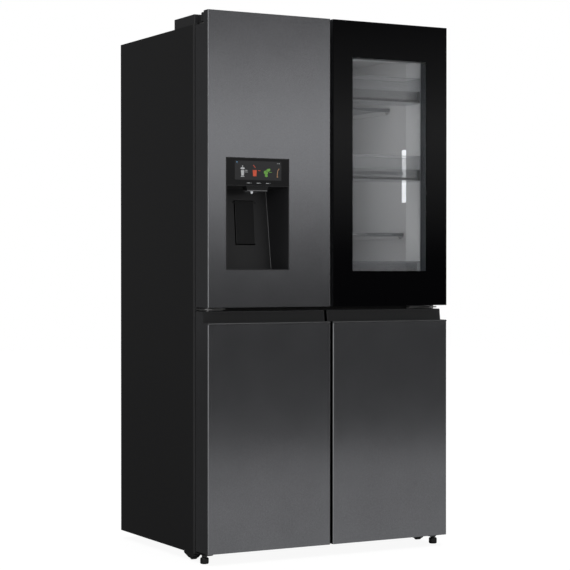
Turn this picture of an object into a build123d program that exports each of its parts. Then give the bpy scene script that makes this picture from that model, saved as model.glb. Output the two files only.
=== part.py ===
"""A four-door side-by-side refrigerator, in millimetres.

Two upper doors and two lower doors hang on vertical pins at the outer corners of an insulated
cabinet. The upper left door holds a water and ice dispenser with a colour display, and the upper
right door a glazed window. The lower doors have a recessed grip along their top edge and the upper
doors a pull groove along their bottom edge. A cross of insulated walls parts the cabinet into a
freezer column on the left and a fresh food column on the right, each with an upper and a lower room.

Every maker below works with y = 0 at the door fronts, y growing towards the wall behind, and the
floor at z = FLOOR. write_node() moves a piece into the part's frame: +Z up, the origin on the
floor under the middle of the overall box, +X to the right of somebody who faces the doors, and
the doors towards -Y.
Left pieces are modelled first, and right ones are their mirror images wherever they match.
"""

import math
import os

from build123d import *

# Overall
WIDTH, DEPTH = 912, 706
FLOOR, TOP = 6, 1780
SIDE = WIDTH / 2

# Cabinet
CAB_FRONT, CAB_BACK = 100, 695
CAB_BOTTOM, CAB_TOP = 33, 1744
SHEET = 1.5
LINER = 2.5
ROOM_OUT, ROOM_IN = 406, 22  # a column's room runs between these distances from the middle
UPPER_ROOM, LOWER_ROOM = (868, 1690), (95, 785)
ROOM_BACK = 635
STEP_Y, STEP_Z = 470, 258  # the lower rooms stop short here, above and in front of the compressor
BAY_Y, BAY_TOP = 500, 225  # the open bay for the compressor
RIB = 12  # how far a shelf rib stands out of a wall

# Doors
DOOR_DEPTH = 92
GAP = 5  # half the gap between a left and a right door
UPPER_DOOR, LOWER_DOOR = (831, TOP), (43, 818)
GRIP_Z = 781  # top of a lower door's front panel
SKIN = 2
SKIN_BACK = 90
EDGE = 3.2  # bright chamfer on a panel's upright edges
GLASS = 4
DIKE = (34, 400)  # the raised rim on a door's inner face, as distances from the middle
DIKE_Z = (876, 1682)
DIKE_WALL, DIKE_BACK = 14, 150
SEAL_WIDTH, SEAL_BACK = 14, 99.7
SEAL_OUT, SEAL_IN = 429, 8

# Hinges
PIN_X, PIN_Y, PIN_R = 430, 55, 6
BORE_R = PIN_R + 0.06
PIN_DEPTH = 22
HINGE_PLATE = 4
ARM_OUT, ARM_R = 452, 17
STEM_R = 5  # a foot's screw
COVER_BACK = 256
NOTCH = dict(inner=402, front=31, floor=1740)  # corner cut out of an upper door for its hinge

# Dispenser in the upper left door
DISPENSER_X, DISPENSER_Z = (-392.5, -161), (951, 1313)
RECESS_Z = (953.5, 1222)
RECESS_RISE, RECESS_DROP = 1, 7  # how much its floor and its roof slope
RECESS_EDGE = 3.5
RECESS_DEEP, RECESS_SHALLOW = 100, 76  # at its top and at its foot
SIDE_SLOPE = 0.3
DISPENSER_MID = -277.75  # of the paddle and the nozzle
HOUSING_FOOT, HOUSING_BACK = 940, 128
PADDLE = dict(width=69, top=1178, foot=1036, thick=5, gap=3.5, narrow_gap=0.9)
CHUTE_X, CHUTE_Y, CHUTE_WALL = DISPENSER_MID + 2, (6, 34), 2.5
NOZZLE_Y = 41
TRAY_INSET, TRAY_Y, TRAY_Z = 24, (8, 60), (948.5, 953.3)

# Window in the upper right door
WINDOW_X, WINDOW_Z = (80, 372.5), (948, 1658)
INNER_PANE = (36, 40)
BIN_X, BIN_BACK = (48.5, 385.5), 160
WINDOW_BINS, WINDOW_BIN_TALL = (895, 1255, 1521), 86

# Floor gear
FOOT_X, FOOT_Y, FOOT_R = 439.5, 60, 13.5
FOOT_TOP = FLOOR + 20
ROLLER_R, ROLLER_W = 12.5, 19
ROLLER_AT = {"front": (435, 149, 19.7), "rear": (372, 652, FLOOR + ROLLER_R)}
AXLE_R = 4

# Water inlet, for a quarter-inch tube
INLET_R, INLET_LENGTH = 3.2, 14

# Drawers behind the lower doors
DRAWER_X = (37, 391)
DRAWER_FRONT = 112
DRAWER_LOW, DRAWER_HIGH = (104, 425, 452), (446, 772, 565)  # foot, rim and back
DRAWER_WALL = 3


def block(x, y, z):
    """A box between three (low, high) pairs."""
    size = [high - low for low, high in (x, y, z)]
    middle = [(high + low) / 2 for low, high in (x, y, z)]
    return Pos(*middle) * Box(*size)


def left(x):
    """A pair of distances from the middle, as a (low, high) pair on the left."""
    return (-max(x), -min(x))


def mirrored(shape):
    return mirror(shape, about=Plane.YZ)


def post(x, y, z, radius):
    """An upright cylinder."""
    low, high = z
    return Pos(x, y, (low + high) / 2) * Cylinder(radius, high - low)


def prism(points, x):
    """A (y, z) outline carried along X between two values."""
    face = make_face(Polyline([(x[0], y, z) for y, z in points], close=True))
    return extrude(face, amount=x[1] - x[0], dir=(1, 0, 0))


def plan_prism(points, z):
    """An (x, y) outline carried up between two heights."""
    face = make_face(Polyline([(x, y, z[0]) for x, y in points], close=True))
    return extrude(face, amount=z[1] - z[0], dir=(0, 0, 1))


def frame_ring(x, y, z, width):
    """A rectangular ring that faces the doors, with its bars this wide."""
    hole = block((x[0] + width, x[1] - width), (y[0] - 1, y[1] + 1), (z[0] + width, z[1] - width))
    return block(x, y, z) - hole


def tub(x, y, z, wall, radius):
    """An open-topped box with rounded upright corners."""
    outer = block(x, y, z)
    outer = fillet(outer.edges().filter_by(Axis.Z), radius)
    inner = block(
        (x[0] + wall, x[1] - wall), (y[0] + wall, y[1] - wall), (z[0] + wall, z[1] + wall)
    )
    return outer - fillet(inner.edges().filter_by(Axis.Z), radius - wall)


# Cabinet


def side_panel():
    """The left outer sheet, with the flange that its door seals on."""
    plate = block((-SIDE, -SIDE + SHEET), (CAB_FRONT, CAB_BACK), (CAB_BOTTOM, CAB_TOP))
    flange = block((-SIDE, -ROOM_OUT), (CAB_FRONT, CAB_FRONT + SHEET), (CAB_BOTTOM, CAB_TOP))
    panel = plate + flange
    corner = panel.edges().filter_by(Axis.Z).sort_by(lambda e: e.center().X + e.center().Y)[0]
    return fillet(corner, 1.2)


def top_panel():
    inside = SIDE - SHEET
    plate = block((-inside, inside), (CAB_FRONT + SHEET, CAB_BACK), (CAB_TOP - SHEET, CAB_TOP))
    flange = block(
        (-ROOM_OUT, ROOM_OUT), (CAB_FRONT, CAB_FRONT + SHEET), (UPPER_ROOM[1], CAB_TOP)
    )
    return plate + flange


def back_panel():
    inside = SIDE - SHEET
    return block(
        (-inside, inside), (CAB_BACK - SHEET, CAB_BACK), (BAY_TOP + SHEET, CAB_TOP - SHEET)
    )


def base_panel():
    """The stepped floor sheet: under the lower rooms, up the front of the bay and over it, and
    the strong plate across the bay that carries the compressor."""
    inside = SIDE - SHEET
    x = (-inside, inside)
    floor = block(x, (CAB_FRONT + SHEET, BAY_Y), (CAB_BOTTOM, CAB_BOTTOM + SHEET))
    riser = block(x, (BAY_Y - SHEET, BAY_Y), (CAB_BOTTOM, BAY_TOP + SHEET))
    roof = block(x, (BAY_Y, CAB_BACK), (BAY_TOP, BAY_TOP + SHEET))
    carrier = block(x, (BAY_Y, CAB_BACK - SHEET), (CAB_BOTTOM, CAB_BOTTOM + 2))
    return floor + riser + roof + carrier


def front_rails():
    """The bars of the cabinet's face between the four rooms, and the one under them."""
    y = (CAB_FRONT, CAB_FRONT + SHEET)
    across = (-ROOM_OUT, ROOM_OUT)
    upright = (-ROOM_IN, ROOM_IN)
    return [
        block(across, y, (LOWER_ROOM[1], UPPER_ROOM[0])),
        block(across, y, (CAB_BOTTOM, LOWER_ROOM[0])),
        block(upright, y, (UPPER_ROOM[0], UPPER_ROOM[1])),
        block(upright, y, (LOWER_ROOM[0], LOWER_ROOM[1])),
    ]


def upper_space(grow=0):
    """The left upper room, grown on every side but its front."""
    x = left((ROOM_OUT + grow, ROOM_IN - grow))
    return block(x, (CAB_FRONT + SHEET, ROOM_BACK + grow), (UPPER_ROOM[0] - grow, UPPER_ROOM[1] + grow))


def lower_space(grow=0):
    """The left lower room, with the step over the compressor bay."""
    x = left((ROOM_OUT + grow, ROOM_IN - grow))
    front = CAB_FRONT + SHEET
    deep = block(x, (front, ROOM_BACK + grow), (STEP_Z - grow, LOWER_ROOM[1] + grow))
    shallow = block(x, (front, STEP_Y + grow), (LOWER_ROOM[0] - grow, STEP_Z + 1))
    return deep + shallow


def ribs(top, y, tall):
    """A pair of ledges on a left room's two side walls."""
    sides = (left((ROOM_OUT, ROOM_OUT - RIB)), left((ROOM_IN, ROOM_IN + RIB)))
    return [block(x, y, (top - tall, top)) for x in sides]


SHELF_FRONT, SHELF_BACK = 200, 610
SHELVES = {  # each shelf's height and how far back its front edge stands
    "left": ((1110, SHELF_FRONT), (1345, SHELF_FRONT)),
    "right": ((1075, SHELF_FRONT), (1290, SHELF_FRONT), (1518, 290)),
}
SHELF_GLASS = 4
LED_Y = (168, 204)


def upper_liner(shelf_places):
    liner = upper_space(LINER) - upper_space()
    for height, front in shelf_places:
        for rib in ribs(height, (front + 9, ROOM_BACK), 14):
            liner += rib
    return liner


def lower_liner():
    liner = lower_space(LINER) - lower_space()
    for foot, _, back in (DRAWER_LOW, DRAWER_HIGH):
        for rib in ribs(foot - 0.5, (DRAWER_FRONT + 12, back), min(18, foot - LOWER_ROOM[0])):
            liner += rib
    return liner


def foam_core():
    inside = SIDE - SHEET
    foam = block(
        (-inside, inside),
        (CAB_FRONT + SHEET, CAB_BACK - SHEET),
        (CAB_BOTTOM + SHEET, CAB_TOP - SHEET),
    )
    bay = block(
        (-inside - 1, inside + 1), (BAY_Y - SHEET, CAB_BACK), (CAB_BOTTOM, BAY_TOP + SHEET)
    )
    foam -= bay
    for space in (upper_space(LINER), lower_space(LINER)):
        foam = foam - space - mirrored(space)
    return foam


def rear_cover():
    """The louvred cover over the compressor bay. Its middle stands out to the wall, with the
    gland for the power cord on one side of it and the water inlet on the other."""
    z = (CAB_BOTTOM + 6, BAY_TOP + 12)
    plate = block((-440, 440), (CAB_BACK, CAB_BACK + 2), z)
    raised = block((-400, 400), (CAB_BACK + 2, DEPTH), (z[0] + 14, z[1] - 14))
    hollow = block((-398, 398), (CAB_BACK - 1, DEPTH - 2), (z[0] + 16, z[1] - 16))
    cover = plate + raised - hollow
    for bank in (-250, 0, 250):
        for row in range(9):
            slot_z = z[0] + 32 + 16 * row
            cover -= block((bank - 85, bank + 85), (DEPTH - 3, DEPTH + 1), (slot_z, slot_z + 6))
    gland = Pos(420, CAB_BACK + 4, 80) * Rot(90, 0, 0) * (Cylinder(10, 8) - Cylinder(4, 10))
    inlet = block((-431, -413), (CAB_BACK + 2, DEPTH), (60, 90))
    inlet -= post(-422, CAB_BACK + 6.5, (59, 60 + INLET_LENGTH), INLET_R)
    return [cover - gland + gland, inlet]


# Hinges and floor gear


def hinge_arm(z, inner, flange_z):
    """A flat arm from the cabinet's face forwards, rounded about the pin's axis, with the flange
    that screws to the face."""
    low, high = z
    across = (-ARM_OUT, -inner)
    arm = block(across, (CAB_FRONT - 22, CAB_FRONT), z)
    tongue = block((-PIN_X - ARM_R, -PIN_X + ARM_R), (PIN_Y, CAB_FRONT - 22), z)
    flange = block(across, (CAB_FRONT - 3.5, CAB_FRONT), flange_z)
    return arm + tongue + flange + post(-PIN_X, PIN_Y, (low, high), ARM_R)


def top_hinge():
    z = (CAB_TOP, CAB_TOP + HINGE_PLATE)
    plate = block((-448, -360), (CAB_FRONT + 8, 232), z)
    tongue = block((-PIN_X - 8, -PIN_X + 16), (PIN_Y, CAB_FRONT + 8), z)
    nose = post(-PIN_X, PIN_Y, z, 14)
    pin = post(-PIN_X, PIN_Y, (NOTCH["floor"] - PIN_DEPTH, z[1]), PIN_R)
    return plate + tongue + nose + pin


def middle_hinge():
    middle = (UPPER_DOOR[0] + LOWER_DOOR[1]) / 2
    z = (middle - HINGE_PLATE / 2, middle + HINGE_PLATE / 2)
    arm = hinge_arm(z, 355, (LOWER_DOOR[1] + 1, UPPER_DOOR[0] - 1))
    pins = post(-PIN_X, PIN_Y, (LOWER_DOOR[1] - PIN_DEPTH, UPPER_DOOR[0] + PIN_DEPTH), PIN_R)
    return arm + pins


def bottom_hinge():
    """The lowest arm, with the boss that the levelling foot screws into."""
    z = (CAB_BOTTOM, CAB_BOTTOM + 5)
    arm = hinge_arm(z, 372, (CAB_BOTTOM, LOWER_DOOR[0] - 1))
    pin = post(-PIN_X, PIN_Y, (z[0], LOWER_DOOR[0] + PIN_DEPTH), PIN_R)
    boss = post(-FOOT_X, FOOT_Y, (FOOT_TOP + 2, z[1]), 9)
    return arm + boss + pin - post(-FOOT_X, FOOT_Y, (FOOT_TOP, CAB_BOTTOM), STEM_R + 0.06)


def hinge_cover():
    """The plastic cap on a top hinge: a low box behind the door and a round nose over the pin."""
    z = (CAB_TOP, TOP - 3)
    wall = 2.5
    rear = block((-454, -340), (CAB_FRONT + 3, COVER_BACK), z)
    rear = fillet(rear.edges().filter_by(Axis.Z), 3)
    web = block((-438, -412), (PIN_Y, CAB_FRONT + 6), (CAB_TOP + HINGE_PLATE + 0.5, z[1] - 3))
    nose = post(-PIN_X, PIN_Y, (CAB_TOP + HINGE_PLATE + 0.5, TOP - 2), 20.5)
    nose = fillet(nose.edges().sort_by(Axis.Z)[-1], 3)
    y = (CAB_FRONT + 3 + wall, COVER_BACK - wall)
    cavity = block((-454 + wall, -340 - wall), y, (z[0] - 1, z[1] - wall))
    slot = block((-440, -412), (CAB_FRONT, y[0] + 1), (z[0] - 1, z[0] + HINGE_PLATE + 0.5))
    return rear + web + nose - cavity - slot


def foot():
    knob = post(-FOOT_X, FOOT_Y, (FLOOR, FOOT_TOP), FOOT_R)
    knob = fillet(knob.edges().filter_by(GeomType.CIRCLE), 3)
    return knob + post(-FOOT_X, FOOT_Y, (FOOT_TOP - 2, CAB_BOTTOM - 0.5), STEM_R)


def lying_rod(x, y, z, radius, width):
    """A cylinder along X, about its middle."""
    return Pos(x, y, z) * Rot(0, 90, 0) * Cylinder(radius, width)


def roller(end):
    x, y, z = ROLLER_AT[end]
    wheel = lying_rod(-x, y, z, ROLLER_R, ROLLER_W)
    wheel = fillet(wheel.edges().filter_by(GeomType.CIRCLE), 2)
    return wheel - lying_rod(-x, y, z, AXLE_R + 0.06, ROLLER_W + 2)


def roller_bracket(end):
    """A folded channel under the cabinet, with the roller's axle across it."""
    x, y, z = ROLLER_AT[end]
    reach = ROLLER_W / 2 + 0.8
    top = CAB_BOTTOM
    back = min(y + 48, CAB_BACK - 4)
    outline = [(y - 28, top), (back, top), (back, top - 9), (y + 12, z - 7), (y - 9, z - 7)]
    outline.append((y - 28, top - 8))
    cheeks = [prism(outline, (-x + s * reach - 1 + s, -x + s * reach + 1 + s)) for s in (-1, 1)]
    web = block((-x - reach - 2, -x + reach + 2), (y + ROLLER_R + 3, back), (top - 2, top))
    return cheeks[0] + cheeks[1] + web + lying_rod(-x, y, z, AXLE_R, 2 * reach + 5)


# Machinery


def compressor():
    shell = Pos(250, 600, 105) * Cylinder(78, 130)
    shell = fillet(shell.edges().filter_by(GeomType.CIRCLE).sort_by(Axis.Z)[-1], 45)
    seam = post(250, 600, (100, 106), 82)
    stub = lying_rod(345, 600, 120, 7, 60)
    box = block((178, 232), (508, 545), (70, 130))
    feet = [post(250 + dx, 600 + dy, (CAB_BOTTOM + 2, 48), 12) for dx in (-60, 60) for dy in (-60, 60)]
    base = block((182, 318), (532, 668), (44, 50))
    whole = shell + seam + stub + box + base
    for rubber in feet:
        whole += rubber
    return whole


def condenser():
    """Fins on a folded tube across the bay, and beside it the fan's frame with its motor."""
    x = (-150, 60)
    core = block(x, (530, 670), (CAB_BOTTOM + 2, 175))
    for n in range(20):
        left_edge = x[0] + 4 + 10.4 * n
        core -= block((left_edge, left_edge + 6), (525, 675), (60, 180))
    for row in range(4):
        for column in range(3):
            core += lying_rod(sum(x) / 2, 555 + 45 * column, 75 + 27 * row, 5, x[1] - x[0] + 24)
    fan_x, fan_y, fan_z = CONDENSER_FAN_AT
    frame_x = (fan_x + 20, fan_x + 24)
    frame = block(frame_x, (525, 675), (CAB_BOTTOM + 2, 185))
    frame -= lying_rod(fan_x + 22, fan_y, fan_z, 62, 10)
    frame += block(frame_x, (525, 675), (fan_z - 7, fan_z + 7))
    motor = lying_rod(fan_x + 24, fan_y, fan_z, 18, 28)
    shaft = lying_rod(fan_x + 6, fan_y, fan_z, SHAFT_R, 24)
    return [core, frame + motor + shaft]


SHAFT_R = 3
CONDENSER_FAN_AT = (-215, 600, 110)
EVAPORATOR_FAN_AT = (-214, 608, 660)


def fan(radius, width, blades):
    """A rotor about Z at the origin, its blades set at a slant."""
    rotor = Cylinder(radius * 0.28, width)
    for n in range(blades):
        blade = Pos(radius * 0.62, 0, 0) * Rot(28, 0, 0) * Box(radius * 0.76, radius * 0.62, 2)
        rotor += Rot(0, 0, 360 / blades * n) * blade
    return (rotor & Cylinder(radius, width * 2)) - Cylinder(SHAFT_R + 0.06, width * 2)


def evaporator():
    x = (-384, -44)
    coil = block(x, (592, 628), (300, 560))
    for n in range(26):
        edge = x[0] + 5 + 12.9 * n
        coil -= block((edge, edge + 9), (588, 632), (306, 554))
    for row in range(8):
        for y in (601, 619):
            coil += lying_rod(sum(x) / 2, y, 318 + 32 * row, 4.5, x[1] - x[0] + 20)
    for end in ((x[0], x[0] + 3), (x[1] - 3, x[1])):
        coil += block(end, (592, ROOM_BACK), (300, 560))
    return coil


def duct_covers():
    """The freezer's inner back with its fan grille, and an air tower on each upper room's back."""
    fan_x, _, fan_z = EVAPORATOR_FAN_AT
    back = block(left((ROOM_OUT - 2, ROOM_IN + 2)), (574, 578), (STEP_Z + 4, LOWER_ROOM[1] - 3))
    for k in range(7):
        slot_z = fan_z - 45 + 14 * k
        half = math.sqrt(max(52**2 - (slot_z + 3 - fan_z) ** 2, 100))
        back -= block((fan_x - half, fan_x + half), (570, 582), (slot_z, slot_z + 6))
    motor = Pos(fan_x, 588, fan_z) * Rot(90, 0, 0) * Cylinder(17, 20)
    shaft = Pos(fan_x, 602, fan_z) * Rot(90, 0, 0) * Cylinder(SHAFT_R, 22)
    back = back + motor + shaft
    tower = block((124, 304), (608, ROOM_BACK), (884, 1676))
    tower = fillet(tower.edges().filter_by(Axis.Z).sort_by(Axis.Y)[:2], 8)
    for slot_z in (1010, 1200, 1410, 1610):
        for x in (140, 250):
            tower -= block((x, x + 38), (600, 618), (slot_z, slot_z + 10))
    return [back, tower, mirrored(tower)]


def led_bars():
    """Upright lamps on the outer side walls and one under each upper room's ceiling."""
    found = []
    for side in (1, -1):
        edges = sorted((side * (ROOM_OUT - 3), side * ROOM_OUT))
        found.append(block(edges, LED_Y, (1188, 1372)))
        middle = side * (ROOM_OUT + ROOM_IN) / 2
        ceiling = (UPPER_ROOM[1] - 4, UPPER_ROOM[1])
        found.append(block((middle - 90, middle + 90), LED_Y, ceiling))
    return found


def shelf(height, front_y, side):
    """One shelf's glass, between its front and rear trims."""
    span = (ROOM_IN + 2, ROOM_OUT - 4)
    x = span if side > 0 else left(span)
    glass = block(x, (front_y + 6, SHELF_BACK - 8), (height, height + SHELF_GLASS))
    front = block(x, (front_y - 6, front_y + 6), (height - 6, height + SHELF_GLASS + 2))
    front = fillet(front.edges().filter_by(Axis.X), 2)
    rear = block(x, (SHELF_BACK - 8, SHELF_BACK - 4), (height, height + 16))
    return glass, front, rear


def ice_maker():
    """The mould with its motor end under the ceiling, and the bucket that stands below it."""
    mould = block((-380, -60), (420, 540), (1560, 1640))
    troughs = [
        Pos(-360 + 32 * n, 480, 1640) * Rot(90, 0, 0) * Cylinder(13, 90) for n in range(9)
    ]
    for trough in troughs:
        mould -= trough
    hanger = block((-380, -340), (420, 540), (1640, UPPER_ROOM[1]))
    bucket = tub((-386, -42), (230, 590), (1350, 1510), 3, 14)
    return [mould + hanger, bucket]


# Doors


def door_skin(z):
    """A left door's folded front sheet: the face and its two sides, open above and below."""
    x = left((SIDE, GAP))
    outer = block(x, (0, SKIN_BACK), z)
    corners = outer.edges().filter_by(Axis.Z).sort_by(Axis.Y)[:2]
    outer = chamfer(corners, EDGE)
    return outer - block((x[0] + SKIN, x[1] - SKIN), (SKIN, SKIN_BACK + 1), (z[0] - 1, z[1] + 1))


def hinge_notch():
    """The corner that is cut out of the left upper door for its top hinge."""
    return block(
        (-SIDE - 1, -NOTCH["inner"]),
        (NOTCH["front"], DOOR_DEPTH + 1),
        (NOTCH["floor"], TOP + 1),
    )


def pin_bore(z):
    return post(-PIN_X, PIN_Y, z, BORE_R)


def seal(z):
    return frame_ring(left((SEAL_OUT, SEAL_IN)), (DOOR_DEPTH, SEAL_BACK), z, SEAL_WIDTH)


UPPER_SEAL_Z, LOWER_SEAL_Z = (842, 1736), (56, 806)
PULL_X, PULL_Y, PULL_TOP = (25, 425), (8, 46), 868


def pull():
    """The left upper door's finger groove: an inverted channel along its bottom edge."""
    channel = block(left(PULL_X), PULL_Y, (UPPER_DOOR[0], PULL_TOP))
    groove = block(
        left((PULL_X[0] + 3, PULL_X[1] - 3)),
        (PULL_Y[0] + 3, PULL_Y[1] - 3),
        (UPPER_DOOR[0] - 1, PULL_TOP - 3),
    )
    roof = groove.edges().filter_by(Axis.X).sort_by(Axis.Z)[2:]
    return channel - fillet(roof, 8)


GRIP_FOOT = 750  # lowest point of a lower door's grip
GRIP_BACK = ((36.5, 754), (44.5, 818))  # the slanting face behind the fingers, foot and top
GRIP_SEAT = ((39.5, GRIP_FOOT), (47, 818))  # the same for the face that the grip rests on
LIP_Z = GRIP_Z - 5  # the grip's lip stands over the front panel from here


def grip_seat():
    """The room that a lower door's body leaves for its grip."""
    return prism([(0, GRIP_FOOT), *GRIP_SEAT, (0, LOWER_DOOR[1])], (-SIDE, 0))


def grip():
    """The left lower door's grip: a lip behind the front panel, a groove, and a slanting back."""
    x = left((SIDE - SKIN, GAP + SKIN))
    foot, back = GRIP_BACK
    section = [(SKIN, GRIP_Z), (SKIN, GRIP_FOOT), *GRIP_SEAT, back, foot]
    section += [(SKIN + 3, foot[1]), (SKIN + 3, GRIP_Z)]
    channel = prism(section, x)
    closed = [(SKIN, GRIP_FOOT), GRIP_SEAT[0], (42.8, GRIP_Z), (SKIN, GRIP_Z)]
    for end in ((x[0], x[0] + 2.5), (x[1] - 2.5, x[1])):
        channel += prism(closed, end)
    lip = block(left((SIDE, GAP)), (0, SKIN + 3), (LIP_Z, GRIP_Z))
    return channel + chamfer(lip.edges().filter_by(Axis.X).group_by(Axis.Z)[-1].sort_by(Axis.Y)[0], 3.2)


def lower_skin():
    """The left lower door's sheet. Its face stops under the grip's lip, and its sides go on behind."""
    foot_y, top_y = 39.9, GRIP_BACK[1][0]
    cut = prism([(-1, GRIP_Z), (foot_y, GRIP_Z), (top_y, 819), (-1, 819)], (-SIDE - 1, 0))
    lip = block((-SIDE - 1, 0), (-1, SKIN + 3), (LIP_Z, GRIP_Z + 1))
    return door_skin(LOWER_DOOR) - cut - lip


def lower_body():
    z = LOWER_DOOR
    body = block(left((SIDE - SKIN, GAP + SKIN)), (SKIN, DOOR_DEPTH), z) - grip_seat()
    body -= pin_bore((z[0] - 1, z[0] + PIN_DEPTH + 1))
    return body - pin_bore((z[1] - PIN_DEPTH - 1, z[1] + 1))


def upper_body():
    """What the two upper doors share, on the left: the filled body, its rim and its pin bores."""
    z = UPPER_DOOR
    body = block(left((SIDE - SKIN, GAP + SKIN)), (SKIN, DOOR_DEPTH), z)
    body += frame_ring(left(DIKE), (DOOR_DEPTH - 1, DIKE_BACK), DIKE_Z, DIKE_WALL)
    body = body - hinge_notch() - block(left(PULL_X), PULL_Y, (z[0] - 1, PULL_TOP))
    body -= pin_bore((z[0] - 1, z[0] + PIN_DEPTH + 1))
    return body - pin_bore((NOTCH["floor"] - PIN_DEPTH - 1, NOTCH["floor"] + 1))


def ice_duct():
    """The slanting way for ice, from behind the door down to the top of the recess."""
    front, back = CHUTE_Y[0] + CHUTE_WALL, CHUTE_Y[1] - CHUTE_WALL
    foot, roof = RECESS_Z[1] - RECESS_DROP, RECESS_Z[1] + 8
    path = [(front, foot), (back, foot), (back, roof), (136, 1280), (136, 1324), (104, 1324)]
    path += [(front + 3.5, roof + 6), (front + 3.5, roof - 6), (front, roof - 9)]
    return prism(path, (CHUTE_X - 31, CHUTE_X + 31))


def housing_space():
    """The outer form of the dispenser's moulding, deep at its recess and thin at its display."""
    face = block(DISPENSER_X, (0, 26), DISPENSER_Z)
    return face + block(DISPENSER_X, (SKIN, HOUSING_BACK), (HOUSING_FOOT, RECESS_Z[1] + 4))


def upper_left_body():
    bulge = block((-396, -152), (DOOR_DEPTH - 1, HOUSING_BACK + 6), (930, 1336))
    bulge = fillet(bulge.edges().filter_by(Axis.X).sort_by(Axis.Y)[2:], 5)
    return upper_body() + bulge - housing_space() - ice_duct()


def recess_space():
    """The hollow that a glass goes into. Its sides close in and its back leans forwards."""
    x0, x1 = DISPENSER_X[0] + RECESS_EDGE, DISPENSER_X[1] - RECESS_EDGE
    z0, z1 = RECESS_Z
    run = SIDE_SLOPE * 120
    plan = plan_prism([(x0, -1), (x1, -1), (x1 - run, 120), (x0 + run, 120)], (z0 - 5, z1 + 5))
    side = prism(
        [(-1, z0), (RECESS_SHALLOW, z0 + RECESS_RISE), (RECESS_DEEP, z1 - RECESS_DROP), (-1, z1)],
        (x0 - 5, x1 + 5),
    )
    return plan & side


def recess_back(z):
    """How deep the recess's back wall lies at a height."""
    foot, top = RECESS_Z[0] + RECESS_RISE, RECESS_Z[1] - RECESS_DROP
    share = (z - foot) / (top - foot)
    return RECESS_SHALLOW + share * (RECESS_DEEP - RECESS_SHALLOW)


PADDLE_AXIS_Z = PADDLE["top"] - 6
PADDLE_ROD_AT = (DISPENSER_MID, recess_back(PADDLE_AXIS_Z) + 0.5, PADDLE_AXIS_Z)
PADDLE_ROD_R, PADDLE_ROD_REACH = 2.5, PADDLE["width"] / 2 + 7


def dispenser_housing():
    """The moulding: a recess, a pocket behind the paddle, and seats for the display panel and the
    tray."""
    half = PADDLE["width"] / 2
    pocket = block(
        (DISPENSER_MID - half - PADDLE["gap"], DISPENSER_MID + half + PADDLE["narrow_gap"]),
        (70, HOUSING_BACK - 3),
        (PADDLE["foot"] - PADDLE["gap"], PADDLE["top"] + PADDLE["narrow_gap"]),
    )
    seat = block(DISPLAY_X, (-1, DISPLAY_BACK), DISPLAY_Z)
    tray_seat = block(tray_x(TRAY_INSET - 0.4), TRAY_Y, (TRAY_Z[0], RECESS_Z[0] + 2))
    rod_bore = lying_rod(*PADDLE_ROD_AT, PADDLE_ROD_R + 0.06, 2 * PADDLE_ROD_REACH + 2)
    tube_hole = post(DISPENSER_MID, NOZZLE_Y, (RECESS_Z[1] - 12, RECESS_Z[1] + 5), 2.5)
    hollows = recess_space() + pocket + seat + tray_seat + ice_duct() + tube_hole + rod_bore
    return housing_space() - hollows


DISPLAY_X = (DISPENSER_X[0] + 2.5, DISPENSER_X[1] - 2.5)
DISPLAY_Z = (RECESS_Z[1] + 1.5, DISPENSER_Z[1] - 2.5)
DISPLAY_BACK = 9


def display_panel():
    panel = block(DISPLAY_X, (0.4, DISPLAY_BACK), DISPLAY_Z)
    return fillet(panel.edges().filter_by(Axis.Y), 2)


def dispenser_outlets():
    """The ice funnel under the recess's roof, and the water nozzle in front of the paddle."""
    top, foot = RECESS_Z[1] + 1, RECESS_Z[1] - 16
    half_top, half_foot = 41, 36

    def funnel(inset):
        outline = [(-half_top, top), (half_top, top), (half_foot, foot), (-half_foot, foot)]
        walls = [(CHUTE_X + x - math.copysign(inset, x), CHUTE_Y[0] + inset, z) for x, z in outline]
        face = make_face(Polyline(walls, close=True))
        return extrude(face, amount=CHUTE_Y[1] - CHUTE_Y[0] - 2 * inset, dir=(0, 1, 0))

    roof = RECESS_Z[1]
    nozzle = post(DISPENSER_MID, NOZZLE_Y, (roof - 14, roof), 4)
    nozzle += post(DISPENSER_MID, NOZZLE_Y, (roof - 7, roof), 6.5)
    nozzle += Pos(DISPENSER_MID, NOZZLE_Y, roof - 18) * Cone(2.2, 4, 8)
    nozzle -= post(DISPENSER_MID, NOZZLE_Y, (roof - 23, roof), 1.4)
    chute = funnel(0) - funnel(CHUTE_WALL)
    chute -= block((CHUTE_X - 60, CHUTE_X + 60), CHUTE_Y, (foot - 1, foot + 1))
    return [chute & recess_space(), nozzle & recess_space()]


def tray_x(inset):
    return (DISPENSER_X[0] + inset, DISPENSER_X[1] - inset)


def drip_tray():
    """The grid at the recess's foot, flush with its floor."""
    x = tray_x(TRAY_INSET)
    tray = block(x, (TRAY_Y[0] + 0.4, TRAY_Y[1] - 0.4), TRAY_Z)
    slots = 12
    pitch = (x[1] - x[0] - 16) / slots
    for n in range(slots):
        start = x[0] + 10 + pitch * n
        tray -= block(
            (start, start + pitch - 4), (TRAY_Y[0] + 8, TRAY_Y[1] - 8), (TRAY_Z[0] - 1, TRAY_Z[1] + 1)
        )
    return tray


def paddle():
    """The lever that a glass pushes, hung from a rod near its top and lying along the back wall."""
    top, foot_z, thick = PADDLE["top"], PADDLE["foot"], PADDLE["thick"]
    top_y, foot_y = recess_back(top) - 2, recess_back(foot_z) - 2
    outline = [(top_y, top), (foot_y, foot_z), (foot_y + thick, foot_z), (top_y + thick, top)]
    half = PADDLE["width"] / 2
    plate = prism(outline, (DISPENSER_MID - half, DISPENSER_MID + half))
    plate = fillet(plate.edges().filter_by(Axis.X), 1.2)
    return plate + lying_rod(*PADDLE_ROD_AT, PADDLE_ROD_R, 2 * PADDLE_ROD_REACH)


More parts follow.
